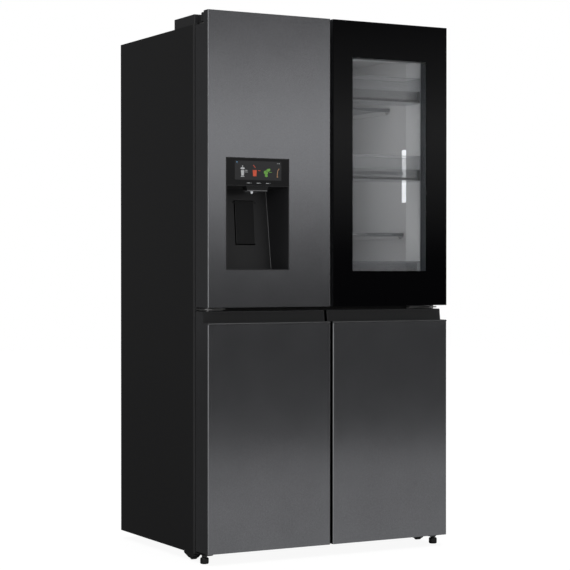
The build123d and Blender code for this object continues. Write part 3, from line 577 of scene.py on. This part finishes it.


# thin strips of lighter colour on the grip's ends, rim and lip: a painted highlight on its edges
for side in ("left", "right"):
    panelLow, panelHigh = panelBox["lower_" + side + "_door_panel"]
    face, rim = panelLow[1], panelHigh[2]
    g = gripShape
    foot = (face + g["seatFront"], rim - g["seatFoot"])
    top = (face + g["seatBack"], rim - g["seatTop"])
    ends = ((panelLow[0] + g["endFrom"], panelLow[0] + g["endTo"]),
            (panelHigh[0] - g["endTo"], panelHigh[0] - g["endFrom"]))
    parts = [addSlanted("gripEnd", x, foot, top, g["endThick"]) for x in ends]
    across = (panelLow[0] + g["rimFrom"], panelHigh[0] - g["rimFrom"])
    parts.append(addSlanted("gripRim", across, (face + g["rimFront"], rim - g["rimFoot"]),
                            (face + g["seatBack"], rim - g["rimTop"]), g["rimThick"]))
    half = (paintedHighlightStrip["thick"] / 2, paintedHighlightStrip["width"] / 2)
    bar = addBlock("gripLip", (panelLow[0] + g["lipFrom"], -half[0], -half[1]),
                   (panelHigh[0] - g["lipFrom"], half[0], half[1]))
    bar.rotation_euler = (-math.pi / 4, 0, 0)
    bar.location = (0, face + paintedHighlightStrip["inset"], rim - g["drop"] + g["lip"] - paintedHighlightStrip["inset"])
    applyPlace(bar)
    parts.append(bar)
    piece = joinPieces(parts, "gripHighlightStrips" + side.capitalize())
    finishPiece(piece, "lower_" + side + "_door", finish["paintedGripHighlight"])

# a lighter strip on the front face of each side panel: a painted highlight on the front flange
cabinetHighlightStrip = {"width": 0.0012, "proud": 0.0002, "inset": 0.0013, "footGap": 0.012, "endGap": 0.001}
for name, node in (("West", "side_panel_left"), ("East", "side_panel_right")):
    low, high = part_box(node)
    c = cabinetHighlightStrip
    inner = low[0] + c["inset"] if name == "West" else high[0] - c["inset"] - c["width"]
    piece = addBlock("cabinetHighlightStrip" + name, (inner, low[1] - c["proud"], low[2] + c["footGap"]),
                     (inner + c["width"], low[1] + c["proud"], high[2] - c["endGap"]))
    roundEdges(piece, lambda m, d: abs(d.z) > 0.9 and m.y < low[1], 0.0001, 2)
    finishPiece(piece, "cabinet", finish["paintedCabinetEdgeHighlight"])
print("edge strips made")


# shelf strips, bin rims and rails, drawer trims

shelfShape = {
    "tall": 0.012, "stripTall": 0.0045, "proud": 0.0006, "back": 0.001, "innerEnd": 0.028,
    "outerGap": 0.004, "leftRise": 0.035, "topSetBack": 0.090,
    "left": (0.0, 0.235), "right": (0.0, 0.215, 0.443),  # steps up from the lowest shelf
}
trimLow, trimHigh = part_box("shelf_trims")
shelfParts = []
shelf = shelfShape
half = shelf["stripTall"] / 2
for side, sign in (("left", -1), ("right", 1)):
    base = trimLow[2] + (shelf["leftRise"] if side == "left" else 0)
    for step in shelf[side]:
        middle = base + step + shelf["tall"] / 2
        x = sorted((sign * shelf["innerEnd"], sign * (trimHigh[0] - shelf["outerGap"])))
        setBack = side == "right" and step == shelf["right"][-1]
        y = trimLow[1] + (shelf["topSetBack"] if setBack else 0)
        bar = addBlock("shelfStrip", (x[0], y - shelf["proud"], middle - half),
                       (x[1], y + shelf["back"], middle + half))
        roundEdges(bar, lambda m, d: abs(d.x) > 0.9, 0.0002, 2)
        shelfParts.append(bar)
finishPiece(joinPieces(shelfParts, "shelfStrips"), "cabinet", finish["brightTrim"])


def makeRim(name, low, high, wide, tall):
    # a thin collar about the top of an open box
    parts = [
        addBlock(name, (low[0], low[1], high[2] - tall), (high[0], low[1] + wide, high[2])),
        addBlock(name, (low[0], high[1] - wide, high[2] - tall), (high[0], high[1], high[2])),
        addBlock(name, (low[0], low[1] + wide, high[2] - tall), (low[0] + wide, high[1] - wide, high[2])),
        addBlock(name, (high[0] - wide, low[1] + wide, high[2] - tall), (high[0], high[1] - wide, high[2])),
    ]
    return joinPieces(parts, name)


binShape = {
    "upper_right_door": {"steps": (0.0, 0.360, 0.626), "tall": 0.086},
    "upper_left_door": {"steps": (0.0, 0.170), "tall": 0.090},
    "sideGap": 0.006, "faceGap": 0.0032,  # from the node's box to the bin's wall
    "rimWide": 0.0022, "rimTall": 0.003, "rimProud": 0.0005,
    "railGap": 0.004, "railFront": 0.0004, "railBack": 0.0024, "railFoot": 0.0033, "railTall": 0.009,
    "postWide": 0.011, "postTall": 0.040,
    "bandStart": 0.005, "bandEnd": 0.016, "bandFoot": 0.013, "bandFront": 0.0006, "bandBack": 0.0018,
}
b = binShape
for body in ("upper_right_door", "upper_left_door"):
    low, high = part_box(body + "_bins")
    tall = b[body]["tall"]
    west, east = low[0] + b["sideGap"], high[0] - b["sideGap"]
    front, back = low[1] + b["faceGap"], high[1] - b["faceGap"]
    railY = (front + b["railFront"], front + b["railBack"])
    rims, rails, bands = [], [], []
    for step in b[body]["steps"]:
        foot = low[2] + step
        railZ = foot + b["railFoot"]
        railEast = east - b["railGap"]
        rims.append(makeRim("binRim", (west, front, foot), (east, back, foot + tall + b["rimProud"]),
                            b["rimWide"], b["rimTall"]))
        rails.append(addBlock("binRail", (west + b["railGap"], railY[0], railZ),
                              (railEast, railY[1], railZ + b["railTall"])))
        if body == "upper_right_door":  # the bins behind the window have a tinted band and an end post
            bandTop = foot + (tall - b["railGap"] if step == 0 else b["postTall"])
            bands.append(addBlock("binBand",
                                  (west + b["bandStart"], front + b["bandFront"], foot + b["bandFoot"]),
                                  (east - b["bandEnd"], front + b["bandBack"], bandTop)))
            rails.append(addBlock("binPost", (railEast - b["postWide"], railY[0], railZ),
                                  (railEast, railY[1], foot + b["postTall"])))
    stem = wordsJoined(body)
    finishPiece(joinPieces(rims, "binRims" + stem), body, finish["clearPlastic"])
    finishPiece(joinPieces(rails, "binRails" + stem), body, finish["darkTrim"])
    if bands:
        finishPiece(joinPieces(bands, "binBands" + stem), body, finish["smokePlastic"])

drawerTrim = {"endGap": 0.012, "proud": 0.0006, "back": 0.0010, "foot": 0.0075, "top": 0.0035}
for node in ("freezer_drawer_upper", "freezer_drawer_lower", "crisper_drawer_upper", "crisper_drawer_lower"):
    low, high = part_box(node)
    d = drawerTrim
    bar = addBlock("trim" + wordsJoined(node),
                   (low[0] + d["endGap"], low[1] - d["proud"], high[2] - d["foot"]),
                   (high[0] - d["endGap"], low[1] + d["back"], high[2] - d["top"]))
    roundEdges(bar, lambda m, d: abs(d.x) > 0.9, 0.0003, 2)
    finishPiece(bar, node, finish["brightTrim"])
print("room pieces made")


# floor gear: ridges round the feet, treads on the rollers

gear = {
    "ridges": 16, "ridgeWide": 0.0016, "ridgeIn": 0.0004, "ridgeOut": 0.0003, "ridgeFrom": 0.004,
    "ridgeTo": 0.016, "treads": 3, "treadThick": 0.0005, "treadSink": 0.0006,
}
for node in ("foot_left", "foot_right"):
    low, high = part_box(node)
    middle = ((low[0] + high[0]) / 2, (low[1] + high[1]) / 2)
    radius = (high[0] - low[0]) / 2
    parts = []
    for n in range(gear["ridges"]):
        angle = 2 * math.pi * n / gear["ridges"]
        ridge = addBlock("footRidge", (-gear["ridgeWide"] / 2, -gear["ridgeIn"], low[2] + gear["ridgeFrom"]),
                         (gear["ridgeWide"] / 2, gear["ridgeOut"], low[2] + gear["ridgeTo"]))
        ridge.rotation_euler = (0, 0, angle + math.pi / 2)
        ridge.location = (middle[0] + radius * math.cos(angle), middle[1] + radius * math.sin(angle), 0)
        applyPlace(ridge)
        parts.append(ridge)
    name = "footRidges" + ("Left" if node.endswith("left") else "Right")
    finishPiece(joinPieces(parts, name), node, finish["footPlastic"])

for node in ("front_roller_left", "front_roller_right", "rear_roller_left", "rear_roller_right"):
    low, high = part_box(node)
    middle = [(a + b) / 2 for a, b in zip(low, high)]
    radius = (high[2] - low[2]) / 2
    parts = []
    for n in range(gear["treads"]):
        x = low[0] + (high[0] - low[0]) * (n + 1) / (gear["treads"] + 1)
        clearSelection()
        bpy.ops.mesh.primitive_torus_add(
            major_radius=radius - gear["treadSink"], minor_radius=gear["treadThick"],
            major_segments=40, minor_segments=8,
            location=(x, middle[1], middle[2]), rotation=(0, math.pi / 2, 0))
        ring = nameIt(bpy.context.object, "rollerTread")
        applyPlace(ring)
        parts.append(ring)
    finishPiece(joinPieces(parts, "treads" + wordsJoined(node)), node, finish["sealRubber"])
print("floor gear made")


# display: a slightly raised screen with generic icons

display = {
    "left": 0.030, "right": 0.027, "bottom": 0.018, "top": 0.008,  # the panel's border about the screen
    "proud": 0.00015, "thick": 0.00215, "iconProud": 0.00015, "iconSunk": 0.0002,
}
displayLow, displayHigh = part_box("display_panel")
screenFace = displayLow[1] - display["proud"]
screenLow = (displayLow[0] + display["left"], screenFace, displayLow[2] + display["bottom"])
screenHigh = (displayHigh[0] - display["right"], screenFace + display["thick"],
              displayHigh[2] - display["top"])
finish["screenGlass"] = makeFinish(
    "screenGlass", (0.018, 0.018, 0.0195), 0.15, fine=200, change=0.05, gloss=0.03, specular=0.2)
screen = addBlock("displayScreen", screenLow, screenHigh)
roundEdges(screen, lambda m, d: abs(d.y) > 0.9, 0.002, 3)
finishPiece(screen, "upper_left_door", finish["screenGlass"])

iconColours = {  # colour and glow
    "White": ((0.42, 0.43, 0.44), 0.14),
    "Red": ((0.52, 0.075, 0.035), 0.14),
    "Green": ((0.13, 0.32, 0.055), 0.13),
    "Brown": ((0.36, 0.20, 0.10), 0.22),
    "Blue": ((0.16, 0.35, 0.55), 0.22),
    "Label": ((0.40, 0.41, 0.41), 0.06),
}
for key, (colour, strength) in iconColours.items():
    finish["icon" + key] = makeFinish(
        "icon" + key, colour, 0.4, fine=600, change=0.1, emission=colour, emissionStrength=strength)

screenWide = screenHigh[0] - screenLow[0]
screenTall = screenHigh[2] - screenLow[2]
iconFront, iconBack = screenFace - display["iconProud"], screenFace + display["iconSunk"]


def screenPoint(across, up):  # from shares of the screen to places on it
    return screenLow[0] + across * screenWide, screenLow[2] + up * screenTall


def addBar(name, across, up, wide, tall, tilt=0):
    x, z = screenPoint(across, up)
    piece = addBlock(name, (-wide / 2, iconFront, -tall / 2), (wide / 2, iconBack, tall / 2))
    piece.rotation_euler = (0, tilt, 0)
    piece.location = (x, 0, z)
    applyPlace(piece)
    roundEdges(piece, lambda m, d: abs(d.y) > 0.9, min(wide, tall) * 0.3, 2)
    return piece


def addDisc(name, across, up, radius, flatten=1.0, tilt=0):
    x, z = screenPoint(across, up)
    piece = addRod(name, (0, iconFront, 0), "y", radius, iconBack - iconFront, 24)
    piece.scale = (1, 1, flatten)
    applyPlace(piece)
    piece.rotation_euler = (0, tilt, 0)
    piece.location = (x, 0, z)
    applyPlace(piece)
    return piece


def addCup(name, across, up, wide, tall, narrow):
    x, z = screenPoint(across, up)
    piece = addBlock(name, (x - wide / 2, iconFront, z - tall / 2), (x + wide / 2, iconBack, z + tall / 2))
    pickFaces(piece, lambda c, n: n.z < -0.9)
    bpy.ops.transform.resize(value=(narrow, 1, 1))
    leaveEdit()
    return piece


white = [
    addCup("iconCup", 0.165, 0.36, 0.0125, 0.0175, 0.72),
    addDisc("iconLid", 0.165, 0.60, 0.0078, 0.42),
    addDisc("iconKnob", 0.165, 0.715, 0.0020),
    addBar("iconSaucer", 0.165, 0.17, 0.0130, 0.0020),
    addBar("iconLineA", 0.245, 0.50, 0.0080, 0.0016),
    addBar("iconLineB", 0.245, 0.41, 0.0110, 0.0014),
    addBar("iconStatusA", 0.925, 0.90, 0.0040, 0.0014),
    addBar("iconStatusB", 0.955, 0.90, 0.0028, 0.0022),
]
finishPiece(joinPieces(white, "iconsWhite"), "upper_left_door", finish["iconWhite"])
red = [
    addCup("iconTumbler", 0.425, 0.36, 0.0150, 0.0200, 0.80),
    addBar("iconStraw", 0.415, 0.72, 0.0016, 0.0130, -0.7),
    addBar("iconLineC", 0.520, 0.50, 0.0090, 0.0015),
]
finishPiece(joinPieces(red, "iconsRed"), "upper_left_door", finish["iconRed"])
green = [
    addDisc("iconLeafA", 0.665, 0.40, 0.0080, 0.80, 0.5),
    addDisc("iconLeafB", 0.715, 0.53, 0.0085, 0.55, -0.4),
    addDisc("iconLeafC", 0.675, 0.24, 0.0052, 0.80, 0.2),
    addBar("iconLineD", 0.765, 0.43, 0.0110, 0.0014),
]
finishPiece(joinPieces(green, "iconsGreen"), "upper_left_door", finish["iconGreen"])
brown = [
    addBar("iconStickA", 0.915, 0.34, 0.0022, 0.0190, 0.12),
    addBar("iconStickB", 0.935, 0.56, 0.0018, 0.0110, 0.6),
    addDisc("iconBead", 0.915, 0.20, 0.0026),
]
finishPiece(joinPieces(brown, "iconsBrown"), "upper_left_door", finish["iconBrown"])
blue = [addBar("iconFlake", 0.045, 0.93, 0.0042, 0.0011, math.pi / 3 * k) for k in range(3)]
finishPiece(joinPieces(blue, "iconsBlue"), "upper_left_door", finish["iconBlue"])
labels = []
for k, across in enumerate((0.29, 0.50, 0.70)):
    labels.append(addBar("labelBar" + str(k), across, -0.165, 0.0115, 0.0018))
    labels.append(addBar("labelDot" + str(k), across + 0.055, -0.165, 0.0016, 0.0018))
finishPiece(joinPieces(labels, "displayLabels"), "upper_left_door", finish["iconLabel"])
print("display made")


# dispenser details

outletLow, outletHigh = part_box("dispenser_outlets")
paddleLow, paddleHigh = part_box("dispenser_paddle")
recessTop = outletHigh[2]
# lighter greys for the dispenser's rims and edges: a painted highlight
finish["paintedEdgeHighlight"] = makeFinish(
    "paintedEdgeHighlight", (0.085, 0.085, 0.088), 0.25, fine=900, change=0.1, gloss=0.05, bump=0.03)
finish["paintedRimHighlight"] = makeFinish(
    "paintedRimHighlight", (0.16, 0.16, 0.165), 0.25, fine=900, change=0.1, gloss=0.05, bump=0.03)
# the nozzle tip glows though it is no lamp: painted light
finish["nozzleTipPaintedGlow"] = makeFinish(
    "nozzleTipPaintedGlow", (0.82, 0.83, 0.84), 0.2, fine=900, change=0.05, gloss=0.05, emission=(0.9, 0.95, 1),
    emissionStrength=0.25)

nozzle = {"backGap": 0.0065, "drop": 0.0012, "radius": 0.0046, "tall": 0.0088, "taper": 0.5,
          "plateHalf": 0.023, "plateFront": 0.0012, "plateBack": 0.0006,
          "plateFoot": 0.0045, "plateTop": 0.0058}
nozzleX = (paddleLow[0] + paddleHigh[0]) / 2  # over the paddle's middle
tip = addRod("nozzleTipPaintedGlow", (nozzleX, outletHigh[1] - nozzle["backGap"], outletLow[2] - nozzle["drop"]), "z",
             nozzle["radius"], nozzle["tall"], 24)
pickFaces(tip, lambda c, n: n.z < -0.9)
bpy.ops.transform.resize(value=(nozzle["taper"], nozzle["taper"], 1))
leaveEdit()
roundAll(tip, 0.0004, 2)
finishPiece(tip, "upper_left_door", finish["nozzleTipPaintedGlow"])

chute = {"drop": 0.015, "halfWide": 0.0365, "proud": 0.0004, "deep": 0.028, "under": 0.0002,
         "tall": 0.0022, "bar": 0.0012}
chuteMiddle = (outletLow[0] + outletHigh[0]) / 2
chuteFoot = recessTop - chute["drop"]
# the chute lip in the lighter grey: a painted highlight
lip = makeRim("chuteLip",
              (chuteMiddle - chute["halfWide"], outletLow[1] - chute["proud"], chuteFoot - chute["under"]),
              (chuteMiddle + chute["halfWide"], outletLow[1] + chute["deep"], chuteFoot + chute["tall"]),
              chute["bar"], chute["tall"])
finishPiece(lip, "upper_left_door", finish["paintedRimHighlight"])
# the nozzle plate in the lighter grey: a painted highlight
plate = addBlock("nozzlePlate",
                 (nozzleX - nozzle["plateHalf"], outletHigh[1] - nozzle["plateFront"],
                  outletLow[2] + nozzle["plateFoot"]),
                 (nozzleX + nozzle["plateHalf"], outletHigh[1] + nozzle["plateBack"],
                  outletLow[2] + nozzle["plateTop"]))
roundAll(plate, 0.0003, 2)
finishPiece(plate, "upper_left_door", finish["paintedRimHighlight"])

# thin strips up both side edges of the paddle, a little lighter than the paddle: a painted highlight
rail = {"half": 0.0345, "wide": 0.0014, "thick": 0.0003, "sunk": 0.0002, "endGap": 0.002, "plate": 0.0055}
slope = (paddleHigh[1] - paddleLow[1] - rail["plate"]) / (paddleHigh[2] - paddleLow[2])
foot = (paddleLow[1] + rail["sunk"], paddleLow[2] + rail["endGap"])
top = (foot[0] + slope * (paddleHigh[2] - paddleLow[2] - 2 * rail["endGap"]), paddleHigh[2] - rail["endGap"])
parts = []
for sign in (-1, 1):
    x = sorted((nozzleX + sign * rail["half"], nozzleX + sign * (rail["half"] - rail["wide"])))
    parts.append(addSlanted("paddleEdge", x, foot, top, rail["thick"]))
finishPiece(joinPieces(parts, "paddleHighlightEdges"), "paddle", finish["darkTrim"])

# a fine line of lighter colour up the inner right corner of the recess: a painted highlight
cornerLine = {"foot": (-0.1884, -0.2785, 0.949), "top": (-0.1956, -0.2545, 1.207), "radius": 0.0009}
climb = Vector(cornerLine["top"]) - Vector(cornerLine["foot"])
wallLine = addRod("recessCornerHighlight", (0, 0, 0), "z", cornerLine["radius"], climb.length, 10)
wallLine.rotation_euler = climb.to_track_quat("Z", "Y").to_euler()
wallLine.location = cornerLine["foot"]
applyPlace(wallLine)
finishPiece(wallLine, "upper_left_door", finish["paintedRimHighlight"])
print("dispenser details made")


# screws and the ribs of the back: one of each kind is made, the rest are copies

screwShape = {"radius": 0.0042, "height": 0.0016, "bevel": 0.0006, "rim": 0.0016, "sink": 0.0008}


def makeScrew(name, spot, axis):
    s = screwShape
    piece = addRod(name, spot, axis, s["radius"], s["height"], 20)
    index = "xyz".index(axis)

    def outerFace(centre, normal):
        return normal[index] > 0.9

    pickFaces(piece, outerFace)
    bpy.ops.mesh.bevel(offset=s["bevel"], segments=2, affect="EDGES")
    leaveEdit()
    pickFaces(piece, outerFace)
    bpy.ops.mesh.inset(thickness=s["rim"])
    bpy.ops.transform.shrink_fatten(value=-s["sink"])
    leaveEdit()
    return piece


coverLow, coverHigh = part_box("hinge_covers")
backLow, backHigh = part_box("back_panel")
rearLow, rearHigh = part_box("rear_cover")

screwGap = {"backSide": 0.012, "backTop": 0.014, "rearSide": 0.010, "rearEnd": 0.007, "rearSink": 0.002,
            "cover": 0.016, "coverSink": 0.0011, "coverWide": 0.114}
g = screwGap
screw = makeScrew("backScrews", (backLow[0] + g["backSide"], backHigh[1], backHigh[2] - g["backTop"]), "y")
stepDown = (backHigh[2] - backLow[2] - 2 * g["backTop"]) / 6
span = backHigh[0] - backLow[0] - 2 * g["backSide"]
places = [(x, 0, -stepDown * k) for k in range(7) for x in (0, span)][1:]
places += [(span * share, 0, 0) for share in (0.25, 0.5, 0.75)]
finishPiece(atPlaces(screw, "backScrews", places), "cabinet", finish["hingeZinc"])

screw = makeScrew("coverScrews",
                  (rearLow[0] + g["rearSide"], rearLow[1] + g["rearSink"], rearHigh[2] - g["rearEnd"]), "y")
span = rearHigh[0] - rearLow[0] - 2 * g["rearSide"]
drop = rearHigh[2] - rearLow[2] - 2 * g["rearEnd"]
places = [(span * share, 0, 0) for share in (0.25, 0.5, 0.75, 1)]
places += [(x, 0, -drop) for x in (0, span)]
finishPiece(atPlaces(screw, "coverScrews", places), "cabinet", finish["hingeZinc"])

rib = {"wide": 0.012, "sunk": 0.0004, "proud": 0.0022, "inset": 0.060, "count": 7}
west = backLow[0] + rib["inset"]
ribSpan = (backHigh[0] - backLow[0] - 2 * rib["inset"]) / (rib["count"] - 1)
ribFace = backHigh[1] + rib["proud"]
bar = addBlock("backRibs", (west - rib["wide"] / 2, backHigh[1] - rib["sunk"], backLow[2] + rib["inset"]),
               (west + rib["wide"] / 2, ribFace, backHigh[2] - rib["inset"]))
roundEdges(bar, lambda m, d: abs(d.y) > 0.9, 0.0055, 4)
roundEdges(bar, lambda m, d: m.y > ribFace - 0.0001, 0.0012, 2)
places = [(ribSpan * n, 0, 0) for n in range(1, rib["count"])]
finishPiece(atPlaces(bar, "backRibs", places), "cabinet", finish["zincSheet"])

screw = makeScrew("hingeCoverScrews",
                  (coverLow[0] + g["cover"], coverHigh[1] - g["cover"], coverHigh[2] - g["coverSink"]), "z")
span = coverHigh[0] - coverLow[0] - 2 * g["cover"]
inset = g["coverWide"] - 2 * g["cover"]
places = [(inset, 0, 0), (span - inset, 0, 0), (span, 0, 0)]
finishPiece(atPlaces(screw, "hingeCoverScrews", places), "cabinet", finish["blackPlastic"])
print("screws and ribs made")


# floor, world, lights and camera

stageShape = {"x": 9.0, "front": -3.4, "back": 14.0}
clearSelection()
bpy.ops.mesh.primitive_plane_add(size=1)
floor = nameIt(bpy.context.object, "studioFloor")
floor.scale = (2 * stageShape["x"], stageShape["back"] - stageShape["front"], 1)
floor.location = (0, (stageShape["back"] + stageShape["front"]) / 2, 0)
applyPlace(floor)
floorMaterial = bpy.data.materials.new("paleFloor")
floorMaterial.use_nodes = True
floorTree = floorMaterial.node_tree
floorLinks = floorTree.links
floorShader = floorTree.nodes["Principled BSDF"]
floorShader.inputs["Base Color"].default_value = (0.07, 0.07, 0.07, 1)
floorShader.inputs["Roughness"].default_value = 0.9
floorShader.inputs["Specular IOR Level"].default_value = 0.0
floorShader.inputs["Emission Color"].default_value = (1, 1, 1, 1)
floorShader.inputs["Emission Strength"].default_value = 0.93
# what the object mirrors: a pale floor in front of the doors and a dark one behind them
mirrorFloor = {"edge": 0.32, "sharp": -10, "pale": 0.67, "dark": 0.10}
floorSpot = floorTree.nodes.new("ShaderNodeNewGeometry")
floorSplit = floorTree.nodes.new("ShaderNodeSeparateXYZ")
floorLinks.new(floorSpot.outputs["Position"], floorSplit.inputs[0])
ahead = mathNode(floorTree, "ADD", floorSplit.outputs["Y"], mirrorFloor["edge"])
paleShare = mathNode(floorTree, "MULTIPLY", ahead, mirrorFloor["sharp"], clamp=True)
paleLevel = mathNode(floorTree, "MULTIPLY", paleShare, mirrorFloor["pale"])
mirrored = floorTree.nodes.new("ShaderNodeEmission")
mirrored.inputs["Color"].default_value = (1, 1, 1, 1)
floorLinks.new(mathNode(floorTree, "ADD", paleLevel, mirrorFloor["dark"]), mirrored.inputs["Strength"])
floorRay = floorTree.nodes.new("ShaderNodeLightPath")
floorMix = floorTree.nodes.new("ShaderNodeMixShader")
floorLinks.new(floorRay.outputs["Is Camera Ray"], floorMix.inputs["Fac"])
floorLinks.new(mirrored.outputs[0], floorMix.inputs[1])
floorLinks.new(floorShader.outputs[0], floorMix.inputs[2])
floorLinks.new(floorMix.outputs[0], floorTree.nodes["Material Output"].inputs["Surface"])
floor.data.materials.append(floorMaterial)

studio = {
    # height of a direction, brightness
    "front": [(-0.10, 0.28), (-0.06, 0.17), (-0.03, 0.03), (0.010, 0.05), (0.055, 1.5), (0.080, 2.1),
              (0.105, 1.1), (0.145, 0.24), (0.35, 0.27), (1.0, 0.8)],
    "around": 0.45,
    "leftBack": 0.13,
    "seen": 1.0,
    "toFront": -2.5, "toEast": 3.0, "toBack": 3.0, "toWest": -6.0,  # how fast each side fades in
}
world = bpy.data.worlds.new("studio")
bpy.context.scene.world = world
world.use_nodes = True
tree = world.node_tree
tree.nodes.clear()
coords = tree.nodes.new("ShaderNodeTexCoord")
split = tree.nodes.new("ShaderNodeSeparateXYZ")
tree.links.new(coords.outputs["Generated"], split.inputs[0])
height = mathNode(tree, "MULTIPLY", mathNode(tree, "ADD", split.outputs["Z"], 1), 0.5)
ramp = tree.nodes.new("ShaderNodeValToRGB")
tree.links.new(height, ramp.inputs["Fac"])
elements = ramp.color_ramp.elements
while len(elements) > 1:
    elements.remove(elements[-1])
for index, (rise, level) in enumerate(studio["front"]):
    element = elements[0] if index == 0 else elements.new((rise + 1) / 2)
    element.position = (rise + 1) / 2
    element.color = (level / 2, level / 2, level / 2, 1)
# 1 in front of the doors
facing = mathNode(tree, "MULTIPLY", split.outputs["Y"], studio["toFront"], clamp=True)
side = mathNode(tree, "MULTIPLY", split.outputs["X"], studio["toEast"], clamp=True)
frontShare = mathNode(tree, "MULTIPLY", facing, side)
frontLevel = mathNode(tree, "MULTIPLY", ramp.outputs["Color"], 2)
mixLevel = tree.nodes.new("ShaderNodeMix")
tree.links.new(frontShare, mixLevel.inputs[0])
behind = mathNode(tree, "MULTIPLY", split.outputs["Y"], studio["toBack"], clamp=True)
west = mathNode(tree, "MULTIPLY", split.outputs["X"], studio["toWest"], clamp=True)
darkShare = mathNode(tree, "MULTIPLY", behind, west)
restLevel = tree.nodes.new("ShaderNodeMix")
tree.links.new(darkShare, restLevel.inputs[0])
restLevel.inputs[2].default_value = studio["around"]
restLevel.inputs[3].default_value = studio["leftBack"]
tree.links.new(restLevel.outputs[0], mixLevel.inputs[2])
tree.links.new(frontLevel, mixLevel.inputs[3])
unseen = tree.nodes.new("ShaderNodeBackground")
unseen.inputs["Color"].default_value = (1, 1, 1, 1)
tree.links.new(mixLevel.outputs[0], unseen.inputs["Strength"])
seen = tree.nodes.new("ShaderNodeBackground")
seen.inputs["Color"].default_value = (1, 1, 1, 1)
seen.inputs["Strength"].default_value = studio["seen"]
rayKind = tree.nodes.new("ShaderNodeLightPath")
mixBack = tree.nodes.new("ShaderNodeMixShader")
tree.links.new(rayKind.outputs["Is Camera Ray"], mixBack.inputs["Fac"])
tree.links.new(unseen.outputs[0], mixBack.inputs[1])
tree.links.new(seen.outputs[0], mixBack.inputs[2])
worldOut = tree.nodes.new("ShaderNodeOutputWorld")
tree.links.new(mixBack.outputs[0], worldOut.inputs["Surface"])


def addSoftbox(name, spot, target, wide, tall, power):
    clearSelection()
    bpy.ops.object.light_add(type="AREA", location=spot)
    lamp = bpy.context.object
    lamp.name = name
    lamp.data.shape = "RECTANGLE"
    lamp.data.size = wide
    lamp.data.size_y = tall
    lamp.data.energy = power
    lamp.rotation_euler = (Vector(target) - Vector(spot)).to_track_quat("-Z", "Y").to_euler()


sunShape = {"energy": 3.1, "spread": 50, "height": 6}
bpy.ops.object.light_add(type="SUN", location=(0, 0, sunShape["height"]))
sun = bpy.context.object
sun.name = "evenSun"
sun.data.energy = sunShape["energy"]
sun.data.angle = math.radians(sunShape["spread"])
softboxes = {  # place, target, width, height, power
    "topSoftbox": ((0.0, 0.5, 5.0), (0, 0.5, 0), 6.0, 6.0, 90),
    "leftSoftbox": ((-4.0, -4.2, 2.2), (-0.4, -0.3, 0.9), 1.2, 3.2, 45),
    "roomLamp": ((0.034, -0.10, 1.27), (0.400, -0.10, 1.27), 0.14, 0.75, 1.0),
}
for name, values in softboxes.items():
    addSoftbox(name, *values)

view = {"spot": (-2.910, -5.335, 0.945), "turn": 28.75, "dip": -0.49, "lens": 110.2}
bpy.ops.object.camera_add(location=view["spot"])
camera = bpy.context.object
camera.name = "studioCamera"
camera.data.lens = view["lens"]
camera.data.sensor_width = 36
camera.data.clip_end = 100
turn, dip = math.radians(view["turn"]), math.radians(view["dip"])
aim = Vector((math.sin(turn) * math.cos(dip), math.cos(turn) * math.cos(dip), math.sin(dip)))
camera.rotation_euler = aim.to_track_quat("-Z", "Y").to_euler()
bpy.context.scene.camera = camera
bpy.context.scene.view_settings.view_transform = "Standard"
print("studio ready")
